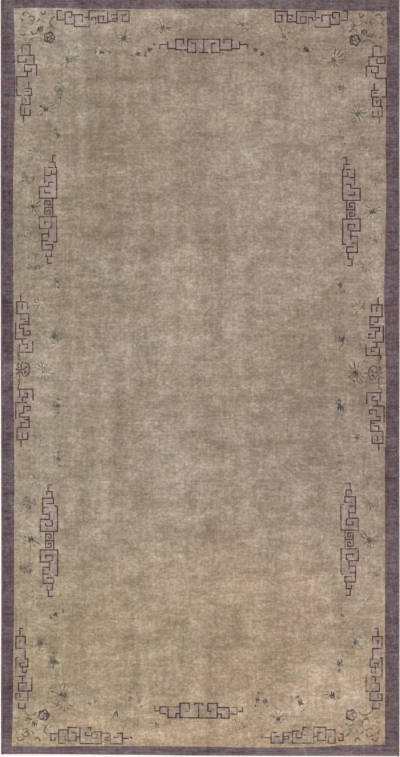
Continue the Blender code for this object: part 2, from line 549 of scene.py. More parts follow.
class RugDyes(bpy.types.PropertyGroup):
    """Colours of the wools."""

    sand: of_colour("Sand", "Field wool", 154, 138, 122)
    tan: of_colour("Tan", "Field wool near the lower end, where it is warmer", 165, 145, 120)
    plum: of_colour("Plum", "Border wool", 105, 88, 92)
    violet: of_colour("Violet", "Border wool where its dye is fresher", 96, 79, 87)
    umber: of_colour("Umber", "Border wool where its dye has browned", 107, 93, 94)
    line: of_colour("Fret line", "Lines of the frets", 76, 57, 51)
    bark: of_colour("Bark", "Lines of the frets that have faded least", 62, 44, 38)
    lilac: of_colour("Lilac", "Ground between the lines of the frets", 150, 132, 127)
    cream: of_colour("Cream", "Petals", 171, 161, 143)
    slate: of_colour("Slate", "Flower hearts and sprigs", 92, 83, 76)
    indigo: of_colour("Indigo", "Darkest sprigs", 74, 61, 62)
    teal: of_colour("Teal", "Green-blue sprigs", 112, 114, 98)
    olive: of_colour("Olive", "Leaves and cloud scrolls", 106, 96, 76)
    brown: of_colour("Brown", "Petal outlines and stems", 94, 80, 68)
    salmon: of_colour("Salmon", "The warmest petals", 184, 145, 127)
    rust: of_colour("Rust", "A few small warm strokes", 136, 106, 91)
    haze: of_colour("Haze", "The faded outer leaves of sprigs and wings", 128, 119, 112)
    cord: of_colour("Cord", "Yarn round the side cords", 108, 97, 101)
    cotton: of_colour("Cotton", "Warps and wefts, which show on the back", 160, 149, 132)


class RugWear(bpy.types.PropertyGroup):
    """Age and use."""

    mottle: of_share("Mottle", "Strength of the fine light and dark flecks", 0.5)
    clouds: of_share("Clouds", "Strength of the larger light and dark patches", 0.5)
    fading: of_share("Fading", "How much of the pattern's dye has worn away", 0.3)
    gaps: of_share("Gaps", "Share of the pattern's knots that are worn out", 0.1)
    seed: bpy.props.IntProperty(name="Seed", description="Starts every random draw", default=1926, min=0)


class RugStudio(bpy.types.PropertyGroup):
    """Floor, lights and camera."""

    camera_high: of_length("Camera height", "How far the camera is over the floor", 15.0)
    floor_size: of_length("Floor size", "Length of the floor's sides", 40.0)
    floor_tone: of_colour("Floor", "Colour of the floor", 250, 248, 248)
    sky: of_strength("Sky", "Strength of the light from all round", 0.66)
    sun: of_strength("Sun", "Strength of the soft main light", 1.46)
    sun_turn: of_turn("Sun turn", "Way that the main light comes from, turned from the +X side", 125.0)
    sun_lean: of_turn("Sun lean", "How far the main light leans from straight down", 38.0)
    sun_spread: of_turn("Sun spread", "How soft the main light is", 24.0)


def column_of(rows, name):
    return [row[name] for row in rows]


def eased(rows, column, station):
    """A table's column at a station, eased between its rows."""
    places = column_of(rows, "station")
    k = min(max(int(np.searchsorted(places, station)) - 1, 0), len(rows) - 2)
    share = (station - places[k]) / (places[k + 1] - places[k])
    share = (1 - math.cos(math.pi * min(max(share, 0.0), 1.0))) / 2
    return rows[k][column] + (rows[k + 1][column] - rows[k][column]) * share


def foot_of_walls(slab, axis, side):
    """Foot points of the slab's walls that face one way, as their places along the edge and across it."""
    mesh = slab.data
    found = set()
    for face in mesh.polygons:
        if abs(face.normal[axis]) > 0.7 and face.normal[axis] * side > 0:
            for k in face.vertices:
                x, y, z = mesh.vertices[k].co
                if z < 0.1 * MM:
                    found.add((round(y, 6), round(x, 6)) if axis == 0 else (round(x, 6), round(y, 6)))
    along, across = zip(*sorted(found))
    low, high = along[0], along[-1]
    return [(place - low) / (high - low) for place in along], list(across)


class Loom:
    """The rug's plan: where a place on a true rectangle lies on the finished rug, and its pile's height."""

    EDGE_INSIDE = 6 * MM  # past this the slab's own rolled edge no longer lowers its top

    def __init__(self):
        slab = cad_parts["rug"]
        self.left = foot_of_walls(slab, 0, -1)
        self.right = foot_of_walls(slab, 0, 1)
        self.lower = foot_of_walls(slab, 1, -1)
        self.upper = foot_of_walls(slab, 1, 1)
        mesh = slab.data
        corners = [vertex.co.copy() for vertex in mesh.vertices]
        self.solid = BVHTree.FromPolygons(corners, [tuple(face.vertices) for face in mesh.polygons])

    def plan(self, across, along):
        """Place on the floor for shares of the rug's width and length."""
        left = np.interp(along, *self.left)
        right = np.interp(along, *self.right)
        lower = np.interp(across, *self.lower)
        upper = np.interp(across, *self.upper)
        return left + (right - left) * across, lower + (upper - lower) * along

    def wander(self, x, y):
        """How far the weave has wandered at a place, which dies away at the rug's rim."""
        inside = min(SLAB_WIDE / 2 - abs(x), SLAB_LONG / 2 - abs(y))
        share = min(max(inside / (10 * CM), 0.0), 1.0) * bpy.context.scene.rug_sizes.wander
        slow = Vector((x * 2.1, y * 2.1, 0.0))
        return (
            share * noise.noise(slow + Vector((0.0, 0.0, 3.7))),
            share * noise.noise(slow + Vector((0.0, 0.0, 9.1))),
        )

    def place(self, x, y):
        """Place on the floor for a place on the loom's chart."""
        shift_x, shift_y = self.wander(x, y)
        floor_x, floor_y = self.plan(0.5 + x / SLAB_WIDE, 0.5 + y / SLAB_LONG)
        return floor_x + shift_x, floor_y + shift_y

    def pile_top(self, floor_x, floor_y):
        """Height of the pile over the floor, with its small swells but without the rolled edge."""
        inside_x = SLAB_WIDE / 2 - 2 * self.EDGE_INSIDE
        inside_y = SLAB_LONG / 2 - 4 * self.EDGE_INSIDE
        x = min(max(floor_x, -inside_x), inside_x)
        y = min(max(floor_y, -inside_y), inside_y)
        hit = self.solid.ray_cast(Vector((x, y, 1.0)), -UP)[0]
        swell = noise.noise(Vector((floor_x * 14, floor_y * 14, 0.0)))
        ripple = noise.noise(Vector((floor_x * 33, floor_y * 41, 5.0)))
        return hit.z + bpy.context.scene.rug_sizes.unevenness * (0.7 * swell + 0.3 * ripple)

    def point(self, x, y, lift=0.0):
        floor_x, floor_y = self.place(x, y)
        return floor_x, floor_y, self.pile_top(floor_x, floor_y) + lift


LOOM = Loom()


class Wire:
    """What a socket in a material gives. Arithmetic on it adds Math nodes."""

    def __init__(self, tree, socket):
        self.tree = tree
        self.socket = socket

    def node(self, kind, settings=(), values=(), output=0):
        """A node of this kind: its settings are made first, and then its sockets get values or links."""
        made = self.tree.nodes.new(kind)
        for name, setting in dict(settings).items():
            if name == "stops":
                set_stops(made.color_ramp, setting)
            else:
                setattr(made, name, setting)
        for name, value in dict(values).items():
            if isinstance(value, Wire):
                self.tree.links.new(value.socket, made.inputs[name])
            else:
                made.inputs[name].default_value = value
        return Wire(self.tree, made.outputs[output])

    def maths(self, operation, *values, clamp=False):
        return self.node("ShaderNodeMath", {"operation": operation, "use_clamp": clamp}, enumerate(values))

    def vector(self, operation, *values, output=0):
        return self.node("ShaderNodeVectorMath", {"operation": operation}, enumerate(values), output)

    def __add__(self, other):
        return self.maths("ADD", self, other)

    __radd__ = __add__

    def __sub__(self, other):
        return self.maths("SUBTRACT", self, other)

    def __rsub__(self, other):
        return self.maths("SUBTRACT", other, self)

    def __mul__(self, other):
        return self.maths("MULTIPLY", self, other)

    __rmul__ = __mul__

    def between(self, low, high, start=0.0, end=1.0):
        """Eased from start to end as the value goes from low to high."""
        return self.node(
            "ShaderNodeMapRange",
            {"interpolation_type": "SMOOTHSTEP"},
            {"Value": self, "From Min": low, "From Max": high, "To Min": start, "To Max": end},
        )

    def mix(self, low, high):
        """From one colour to another as this value goes from 0 to 1."""
        ends = [end if isinstance(end, Wire) else (*end, 1.0) for end in (low, high)]
        return self.node("ShaderNodeMix", {"data_type": "RGBA"}, {0: self, 6: ends[0], 7: ends[1]}, output=2)

    def times_colour(self, colour, shares=(0.90, 0.99, 1.13)):
        """A colour made lighter or darker by this value. Blue changes most, as worn wool greys."""
        change = self - 1.0
        grey = self.node("ShaderNodeCombineXYZ", (), {0: change, 1: change, 2: change})
        return self.vector("MULTIPLY", grey.vector("MULTIPLY_ADD", grey, shares, (1.0, 1.0, 1.0)), colour)

    def stretched(self, x, y, z=1.0):
        return self.vector("MULTIPLY", self, (x, y, z))

    def grain(self, scale, detail=2.0, roughness=0.6, seed=0.0):
        """Random values about 0, for a place, with this many features a metre."""
        moved = self.vector("ADD", self, (seed, 1.7 * seed, 0.6 * seed))
        values = {"Vector": moved, "Scale": scale, "Detail": detail, "Roughness": roughness}
        return self.node("ShaderNodeTexNoise", {"noise_dimensions": "3D"}, values) - 0.5


def set_stops(ramp, stops):
    """stops are pairs of a position and a colour."""
    while len(ramp.elements) > 1:
        ramp.elements.remove(ramp.elements[-1])
    ramp.elements[0].position, ramp.elements[0].color = stops[0]
    for position, colour in stops[1:]:
        ramp.elements.new(position).color = colour


def dye(name):
    """A wool's colour from the panel."""
    return tuple(getattr(bpy.context.scene.rug_dyes, name))


def new_wool(name, roughness=0.95, sheen=0.12):
    """A material for matt wool, its Principled shader, and the place on the rug as a Wire."""
    material = bpy.data.materials.new(name)
    material.use_nodes = True
    tree = material.node_tree
    shader = tree.nodes["Principled BSDF"]
    shader.inputs["Roughness"].default_value = roughness
    shader.inputs["Metallic"].default_value = 0.0
    shader.inputs["Specular IOR Level"].default_value = 0.15
    shader.inputs["Sheen Weight"].default_value = sheen
    shader.inputs["Sheen Roughness"].default_value = 0.6
    place = Wire(tree, tree.nodes.new("ShaderNodeTexCoord").outputs["Object"])
    return material, shader, place


def finish_wool(material, shader, colour, roughness, relief, depth):
    """Joins the colour, the roughness and the relief to a wool's shader."""
    tree = material.node_tree
    tree.links.new(colour.socket, shader.inputs["Base Color"])
    tree.links.new(roughness.socket, shader.inputs["Roughness"])
    bump = relief.node("ShaderNodeBump", (), {"Height": relief, "Distance": depth, "Strength": 0.8})
    tree.links.new(bump.socket, shader.inputs["Normal"])
    return material


def crease_wear_and_painted_light(place):
    """The lightening and darkening of creases and worn lines, about 0: worn pile with painted highlight and
    painted shade.
    """
    shaken = place.vector("ADD", place, wobble(place, 18.0, 5 * MM))
    total = None
    for row in CREASE_WEAR_AND_PAINTED_LIGHT:
        start = Vector((row["from"][0] * CM, row["from"][1] * CM, 0.0))
        run = Vector((row["to"][0] * CM, row["to"][1] * CM, 0.0)) - start
        flat = shaken.stretched(1.0, 1.0, 0.0)
        away = flat.vector("SUBTRACT", flat, start)
        share = away.vector("DOT_PRODUCT", away, run, output=1)
        share = share.maths("MULTIPLY", share, 1 / run.length_squared, clamp=True)
        nearest = place.node("ShaderNodeVectorMath", {"operation": "SCALE"}, {0: run, "Scale": share})
        gap = away.vector("DISTANCE", away, nearest, output=1)
        # Painted highlight where lift is above 0 and painted shade where it is below, on the creases' worn
        # pile
        mark = gap.between(0.0, 2 * row["half"] * MM, row["lift"], 0.0)
        total = mark if total is None else total + mark
    return total


def wobble(place, scale, reach):
    """A small random shift of the place, in metres."""
    values = {"Vector": place, "Scale": scale, "Detail": 1.0}
    shift = place.node("ShaderNodeTexNoise", {"noise_dimensions": "3D"}, values, output=1)
    centred = shift.vector("SUBTRACT", shift, (0.5, 0.5, 0.5))
    return centred.vector("MULTIPLY", centred, (2 * reach, 2 * reach, 0.0))


def patches_and_crease_highlight(place):
    """The soft patches and the painted crease highlight, as a colour about white that the field's own colour
    is multiplied by.
    """
    shaken = place.vector("ADD", place, wobble(place, 2.6, 22 * CM))
    total = (1.0, 1.0, 1.0)
    for row in PATCHES_AND_CREASE_HIGHLIGHT:
        reach = (1 / (row["across"] * CM), 1 / (row["along"] * CM), 0.0)
        away = shaken.vector("SUBTRACT", shaken, (row["x"] * CM, row["y"] * CM, 0.0))
        away = away.vector("MULTIPLY", away, reach)
        share = away.vector("LENGTH", away, output=1).between(0.15, 1.25, 1.0, 0.0)
        # Each row lightens or darkens a soft patch, and the first row paints a crease highlight
        change = (0.90 * row["lift"] + row["warm"] / 2, row["lift"], 1.13 * row["lift"] - row["warm"] / 2)
        mark = share.node("ShaderNodeVectorMath", {"operation": "SCALE"}, {0: change, "Scale": share})
        total = mark.vector("ADD", total, mark)
    return total


def tint(place, scale, reach, seed):
    """The small differences of hue between batches of yarn, as a colour about white."""
    moved = place.vector("ADD", place, (seed, 0.7 * seed, seed))
    values = {"Vector": moved, "Scale": scale, "Detail": 4.0, "Roughness": 0.8}
    hues = place.node("ShaderNodeTexNoise", {"noise_dimensions": "3D"}, values, output=1)
    least = (1 - reach / 2, 1 - 0.3 * reach, 1 - reach / 2)
    return hues.vector("MULTIPLY_ADD", hues, (reach, 0.6 * reach, reach), least)


def wool_tone(place):
    """The light and dark of hand-spun, hand-dyed and worn wool, about 1."""
    wear = bpy.context.scene.rug_wear
    mottle = place.stretched(0.78, 1.0).grain(7.5, 4.0, 0.9, 2.0)
    flecks = place.stretched(0.84, 1.0).grain(52.0, 2.0, 0.9, 4.0)
    wefts = place.stretched(0.06, 1.0).grain(70.0, 2.0, 0.8, 10.0)
    ends = place.stretched(1.0, 0.06).grain(60.0, 2.0, 0.8, 11.0)
    fine = 3.1 * mottle + 3.0 * flecks + 1.0 * wefts + 0.8 * ends
    clouds = place.grain(1.0, 3.0, 0.8, 8.0)
    warps = place.stretched(1.0, 0.06).grain(3.2, 5.0, 0.85, 12.0)
    picks = place.stretched(0.16, 1.0).grain(3.6, 4.0, 0.85, 14.0)
    broad = 1.2 * clouds + 2.0 * warps + 1.6 * picks
    change = wear.mottle * fine + wear.clouds * broad
    return 1.0 + change + 0.5 * change * change


def pale_flecks(place):
    """Short weft-wise flecks where the pile has worn pale, from 0 to 1."""
    flecks = place.stretched(0.42, 1.0).grain(44.0, 3.0, 0.65, 21.0)
    where = place.grain(3.0, 2.0, 0.6, 23.0)
    return (flecks + 0.35 * where).between(0.05, 0.24)


def field_colour(place, tone):
    """The field's wool: sand, warmer towards the lower end, with a few rosy clouds there."""
    drift = place.grain(1.1, 3.0, 0.6, 31.0)
    warmth = (place_along(place) + 1.2 * drift).between(-0.5, -2.5)
    rosy = place.stretched(1.0, 1.6).grain(2.4, 3.0, 0.6, 33.0).between(0.02, 0.24)
    base = warmth.mix(dye("sand"), dye("tan"))
    base = (rosy * warmth * 0.45).mix(base, light_of(166, 141, 122))
    worn = pale_flecks(place).mix(base, light_of(172, 163, 147))
    base = (0.42 * pale_flecks(place)).mix(base, worn)
    green = 0.998 - 0.018 * place_across(place)
    greener = place.node("ShaderNodeCombineXYZ", (), {0: 1.0, 1: green, 2: 1.0})
    base = place.vector("MULTIPLY", base, greener)
    base = place.vector("MULTIPLY", base, tint(place, 4.5, 0.20, 37.0))
    return tone.times_colour(base)


def border_colour(place, tone):
    """The border's wool: plum with bands of fresher and browner dye, and streaks along its wefts."""
    across, along = place_across(place), place_along(place)
    ends = place.maths("ABSOLUTE", along)
    bands = place.stretched(0.5, 1.0).grain(2.2, 3.0, 0.6, 41.0)
    base = bands.between(-0.12, 0.10).mix(dye("violet"), dye("plum"))
    brown = (place.grain(3.1, 3.0, 0.65, 43.0) + 0.07 * across).between(-0.05, 0.20)
    base = (0.8 * brown).mix(base, dye("umber"))
    redder = place.vector("MULTIPLY", base, (0.94, 0.86, 0.90))
    base = across.between(0.3, 1.42).mix(base, redder)
    base = place.vector("MULTIPLY", base, tint(place, 20.0, 1.1, 49.0))
    streaks = place.stretched(0.05, 1.0).grain(52.0, 3.0, 0.95, 45.0)
    lower_end = along.between(-2.66, -2.84)
    light = ends.between(2.5, 2.86, 0.0, 0.05) + 0.23 * lower_end
    strong = 0.98 + 1.2 * (tone - 1.0) + (1.6 + 1.0 * lower_end) * streaks + light + 0.02 * across
    return strong.times_colour(base, (0.90, 1.07, 1.04))


def place_across(place):
    return place.node("ShaderNodeSeparateXYZ", (), {0: place})


def place_along(place):
    return place.node("ShaderNodeSeparateXYZ", (), {0: place}, output=1)


def wool_relief(place):
    """Height of the tufts and of the uneven wear of the pile."""
    tufts = place.node(
        "ShaderNodeTexVoronoi",
        {"feature": "F1"},
        {"Vector": place, "Scale": 1 / bpy.context.scene.rug_sizes.knot, "Randomness": 0.7},
    )
    rows = place.stretched(0.12, 1.0).grain(150.0, 2.0, 0.7, 51.0)
    return 0.5 * place.grain(40.0, 4.0, 0.75, 53.0) + 0.5 * rows - 0.35 * tufts


def wool_roughness(place):
    return 0.94 + 0.12 * place.grain(60.0, 2.0, 0.6, 61.0)


def worn_field(place):
    """The field as it is now: its dyes, its soft patches and its creases, whose lines are worn pile with
    painted highlight and painted shade.
    """
    # The creases' painted highlight and painted shade go into the tone
    tone = wool_tone(place) + crease_wear_and_painted_light(place)
    return place.vector("MULTIPLY", field_colour(place, tone), patches_and_crease_highlight(place))


TUFT_DEPTH = 0.9 * MM


def field_wool():
    material, shader, place = new_wool("field_wool")
    colour = worn_field(place)
    return finish_wool(material, shader, colour, wool_roughness(place), wool_relief(place), TUFT_DEPTH)


def border_wool():
    material, shader, place = new_wool("border_wool")
    # The creases' painted highlight and painted shade go into the tone
    tone = wool_tone(place) + crease_wear_and_painted_light(place)
    colour = border_colour(place, tone)
    return finish_wool(material, shader, colour, wool_roughness(place), wool_relief(place), TUFT_DEPTH)


def woven_back():
    """The back of the knots, ribbed by the wefts, with cotton showing between them."""
    material, shader, place = new_wool("woven_back", sheen=0.05)
    tone = wool_tone(place)
    colour = field_colour(place, tone)
    ribs = place.stretched(0.08, 1.0).grain(230.0, 2.0, 0.7, 71.0)
    colour = (0.6 * ribs.between(0.0, 0.3)).mix(colour, dye("cotton"))
    return finish_wool(material, shader, colour, wool_roughness(place), ribs, 1.2 * MM)


def pattern_wool(name, fading):
    """A dyed wool of the pattern, part worn away so that the field's colour comes through."""
    material, shader, place = new_wool(f"{name}_wool")
    tone = wool_tone(place)
    shade = 1.0 + 1.1 * place.grain(38.0, 3.0, 0.7, 81.0)
    fresh = shade.times_colour(tone.times_colour(dye(name)))
    worn = (place.grain(34.0, 3.0, 0.7, 83.0) + 0.6 * place.grain(5.0, 2.0, 0.6, 85.0)).between(-0.20, 0.25)
    lower_end = place_along(place).between(-1.6, -2.8, 0.0, 0.14)
    share = fading + 0.9 * (worn - 0.5) + lower_end
    colour = share.maths("ADD", share, 0.0, clamp=True).mix(fresh, worn_field(place))
    return finish_wool(material, shader, colour, wool_roughness(place), wool_relief(place), TUFT_DEPTH)


def cord_wool(length_of_wrap):
    """The side cords' yarn: greyer than the border, darker between its turns, with worn pale spots."""
    material, shader, place = new_wool("cord_wool", roughness=0.9)
    tone = wool_tone(place)
    spots = place.stretched(0.6, 1.0).grain(26.0, 3.0, 0.7, 91.0)
    base = spots.between(-0.16, 0.2).mix(dye("cord"), dye("plum"))
    pale = place.grain(11.0, 3.0, 0.7, 93.0).between(0.08, 0.25)
    base = (0.4 * pale).mix(base, light_of(144, 133, 127))
    strands = place.stretched(1.0, 0.4).grain(2.0 / length_of_wrap, 2.0, 0.6, 95.0)
    return finish_wool(material, shader, tone.times_colour(base), wool_roughness(place), strands, 0.5 * MM)


def new_piece(name, points, faces, materials, slots, smooth):
    """A mesh piece that rides on the rug, attached to the root body, with its materials in slots and a slot
    for each face.
    """
    mesh = bpy.data.meshes.new(name)
    mesh.from_pydata(points, [], faces)
    for material in materials:
        mesh.materials.append(material)
    mesh.polygons.foreach_set("material_index", np.array(slots, dtype=np.int32))
    mesh.polygons.foreach_set("use_smooth", np.full(len(faces), smooth, dtype=bool))
    mesh.update()
    piece = bpy.data.objects.new(name, mesh)
    bpy.context.scene.collection.objects.link(piece)
    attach(piece, "root")
    return piece


BACK_STEP = 4  # grid lines of the pile to one of the back


class GroundLines:
    """The ground's grid: its lines across and along the rug, which follow the border's uneven inner line."""

    SIDE_BORDERS_WIDE = 20 * CM  # both together, about
    END_BORDERS_WIDE = 14 * CM

    def __init__(self, step):
        roll = len(EDGE_ROLL)
        self.band_x = 5
        self.band_y = 4
        self.field_x = self.rounded((SLAB_WIDE - self.SIDE_BORDERS_WIDE) / step, roll, self.band_x)
        self.field_y = self.rounded((SLAB_LONG - self.END_BORDERS_WIDE) / step, roll, self.band_y)
        self.across = self.field_x + 2 * (self.band_x + roll - 1)
        self.along = self.field_y + 2 * (self.band_y + roll - 1)

    @staticmethod
    def rounded(steps, roll, band):
        """A number of field steps that makes the whole edge a multiple of the back's step."""
        edges = 2 * (band + roll - 1)
        return BACK_STEP * round((steps + edges) / BACK_STEP) - edges

    def lines(self, near, far, band, field, length):
        """Distances of the grid lines from one edge, where the border is near and far wide at the two."""
        roll = [row["inset"] * MM for row in EDGE_ROLL]
        start = list(np.linspace(roll[-1], near, band + 1))
        middle = list(np.linspace(near, length - far, field + 1))
        end = list(np.linspace(length - far, length - roll[-1], band + 1))
        return roll[:-1] + start + middle[1:] + end[1:] + [length - inset for inset in roll[-2::-1]]

    def drop(self, line, count):
        """How far the pile's top is lowered on a grid line, by the rolled edge."""
        nearest = min(line, count - line)
        return EDGE_ROLL[nearest]["drop"] * MM if nearest < len(EDGE_ROLL) else 0.0

    def is_border(self, column, row):
        side = self.band_x + len(EDGE_ROLL) - 1
        end = self.band_y + len(EDGE_ROLL) - 1
        return not (side <= column < self.across - side and end <= row < self.along - end)


def ground_points(lines):
    """Plan places and heights of the ground's grid, row by row."""
    cord = (CAD_BOX[1][0] - CAD_BOX[0][0] - SLAB_WIDE) / 2
    middle_across = np.linspace(0.0, 1.0, lines.across + 1)
    ends = [
        lines.lines(
            eased(END_BORDERS, "lower", share) * MM,
            eased(END_BORDERS, "upper", share) * MM,
            lines.band_y,
            lines.field_y,
            SLAB_LONG,
        )
        for share in middle_across
    ]
    plan, top = [], []
    for row in range(lines.along + 1):
        station = ends[lines.across // 2][row] / SLAB_LONG
        sides = lines.lines(
            eased(SIDE_BORDERS, "left", station) * MM - cord,
            eased(SIDE_BORDERS, "right", station) * MM - cord,
            lines.band_x,
            lines.field_x,
            SLAB_WIDE,
        )
        for column in range(lines.across + 1):
            x, y = LOOM.place(sides[column] - SLAB_WIDE / 2, ends[column][row] - SLAB_LONG / 2)
            drop = max(lines.drop(column, lines.across), lines.drop(row, lines.along))
            plan.append((x, y))
            top.append((x, y, LOOM.pile_top(x, y) - drop))
    return plan, top


def rim_lines(columns, rows):
    """(column, row) of the grid's rim, anticlockwise from the lower left corner."""
    lower = [(k, 0) for k in range(columns)]
    right = [(columns, k) for k in range(rows)]
    upper = [(k, rows) for k in range(columns, 0, -1)]
    left = [(0, k) for k in range(rows, 0, -1)]
    return lower + right + upper + left


# Rings of the slab's wall below the pile's rim: height over the floor and how far each is drawn in, in mm
WALL_RINGS = table(
    "high inset",
    (4.6, 0.1),
    (2.9, 0.8),
    (1.2, 0.3),
    (0.0, 0.0),
)


def back_faces(columns, rows, corner):
    """Faces of the back, on its own coarser grid lines. Those at the rim take in the rim's points too."""

    def side(start, end):
        """Grid places from start up to but not including end, all of them only along the rim."""
        (a, b), (c, d) = start, end
        at_rim = (a == c and a in (0, columns)) or (b == d and b in (0, rows))
        steps = BACK_STEP if at_rim else 1
        return [(a + (c - a) * k // steps, b + (d - b) * k // steps) for k in range(steps)]

    faces = []
    for row in range(0, rows, BACK_STEP):
        for column in range(0, columns, BACK_STEP):
            right, over = column + BACK_STEP, row + BACK_STEP
            turns = ((column, row), (column, over), (right, over), (right, row), (column, row))
            ring = [place for start, end in zip(turns, turns[1:]) for place in side(start, end)]
            faces.append([corner(*place) for place in ring])
    return faces


def ground_mesh(lines):
    """Points, faces and material slots of the closed ground: pile on top, wall, and woven back."""
    plan, points = ground_points(lines)
    columns, rows = lines.across, lines.along

    def index(column, row):
        return row * (columns + 1) + column

    faces, slots = [], []
    for row in range(rows):
        for column in range(columns):
            low, high = index(column, row), index(column, row + 1)
            faces.append((low, low + 1, high + 1, high))
            slots.append(1 if lines.is_border(column, row) else 0)

    rim = rim_lines(columns, rows)
    above = [index(*place) for place in rim]
    for level, ring in enumerate(WALL_RINGS):
        below = []
        for column, row in rim:
            x, y = plan[index(column, row)]
            inward_x = ring["inset"] * MM * ((column == 0) - (column == columns))
            inward_y = ring["inset"] * MM * ((row == 0) - (row == rows))
            below.append(len(points))
            points.append((x + inward_x, y + inward_y, ring["high"] * MM))
        for k in range(len(rim)):
            after = (k + 1) % len(rim)
            faces.append((below[k], below[after], above[after], above[k]))
            slots.append(1 if level == 0 else 2)
        above = below

    foot = dict(zip(rim, above))
    for row in range(BACK_STEP, rows, BACK_STEP):
        for column in range(BACK_STEP, columns, BACK_STEP):
            foot[column, row] = len(points)
            points.append((*plan[index(column, row)], 0.0))
    back = back_faces(columns, rows, lambda column, row: foot[column, row])
    faces += back
    slots += [2] * len(back)
    return points, faces, slots


class RUG_OT_ground(bpy.types.Operator):
    """Weave the ground: field, border, rolled edge and woven back in one closed sheet"""

    bl_idname = "rug.weave_ground"
    bl_label = "Weave the ground"

    def execute(self, context):
        lines = GroundLines(context.scene.rug_sizes.ground_step)
        points, faces, slots = ground_mesh(lines)
        materials = [field_wool(), border_wool(), woven_back()]
        piece = new_piece("woven_ground", points, faces, materials, slots, True)
        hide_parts("rug")
        return {"FINISHED"}


# Section of a side cord as shares of its width and height, from its foot by the slab round to its top there
CORD_SECTION = table(
    "out up",
    (0.00, 0.02),
    (0.42, 0.00),
    (0.78, 0.10),
    (0.97, 0.36),
    (0.99, 0.62),
    (0.84, 0.88),
    (0.55, 1.00),
    (0.22, 0.97),
    (0.00, 0.84),
)


YARN_WIDE = 17.0 * MM  # over the turns of a side cord's yarn, past the solid that it covers
TIP_LONG = 7 * MM
RINGS_PER_TURN = 2  # one on the turn's ridge, and one in the groove beside it


def cord_lines(node):
    """The inner line of a side cord as (along, across), and its height and width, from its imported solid."""
    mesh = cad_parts[node].data
    low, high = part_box(node)
    outward = 1.0 if low[0] > 0 else -1.0
    inner = {}
    for vertex in mesh.vertices:
        y = round(vertex.co.y, 5)
        if y not in inner or vertex.co.x * outward < inner[y] * outward:
            inner[y] = vertex.co.x
    along = sorted(inner)
    return along, [inner[y] for y in along], outward, low, high


def wrapped_cord(name, node, material):
    """Yarn wrapped round the outer warps: a ridged cord whose turns slant, with a rounded tip at each end."""
    sizes = bpy.context.scene.rug_sizes
    along, across, outward, low, high = cord_lines(node)
    length = along[-1] - along[0]
    tall = high[2] - low[2]
    rings = int(length / sizes.wrap) * RINGS_PER_TURN
    points, faces = [], []
    count = len(CORD_SECTION)
    for ring in range(rings + 1):
        y = along[0] + length * ring / rings
        seat = np.interp(y, along, across)
        past = min(y - along[0], along[-1] - y) / TIP_LONG
        tip = math.sqrt(max(1 - (1 - min(past, 1.0)) ** 2, 0.12))
        ridge = 1.0 if ring % RINGS_PER_TURN else 0.93
        uneven = 1.0 + 0.06 * noise.noise(Vector((0.0, y * 60, 3.0 * outward)))
        size = tip * ridge * uneven
        for k, place in enumerate(CORD_SECTION):
            slant = sizes.wrap * 0.55 * (k / (count - 1) - 0.5) * min(past, 1.0)
            out = place["out"] * YARN_WIDE * min(size, 1.02)
            up = place["up"] * tall * min(size, 1.0)
            points.append((seat + outward * out, y + slant, up))
    for ring in range(rings):
        for k in range(count):
            after = (k + 1) % count
            a, b = ring * count + k, ring * count + after
            c, d = b + count, a + count
            faces.append((a, b, c, d) if outward < 0 else (d, c, b, a))
    first, last = list(range(count)), [rings * count + k for k in range(count)]
    faces.append(first[::-1] if outward < 0 else first)
    faces.append(last if outward < 0 else last[::-1])
    piece = new_piece(name, points, faces, [material], [0] * len(faces), True)
    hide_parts(node)


class RUG_OT_side_cords(bpy.types.Operator):
    """Wrap the side cords in yarn along both long sides"""

    bl_idname = "rug.wrap_side_cords"
    bl_label = "Wrap the side cords"

    def execute(self, context):
        material = cord_wool(context.scene.rug_sizes.wrap)
        wrapped_cord("side_cord_left", "selvedge_left", material)
        wrapped_cord("side_cord_right", "selvedge_right", material)
        return {"FINISHED"}


NEIGHBOURS = ((1, 0), (0, 1), (-1, 0), (0, -1))
SKIRT_OUT = 0.6 * MM
SKIRT_DOWN = 0.9 * MM


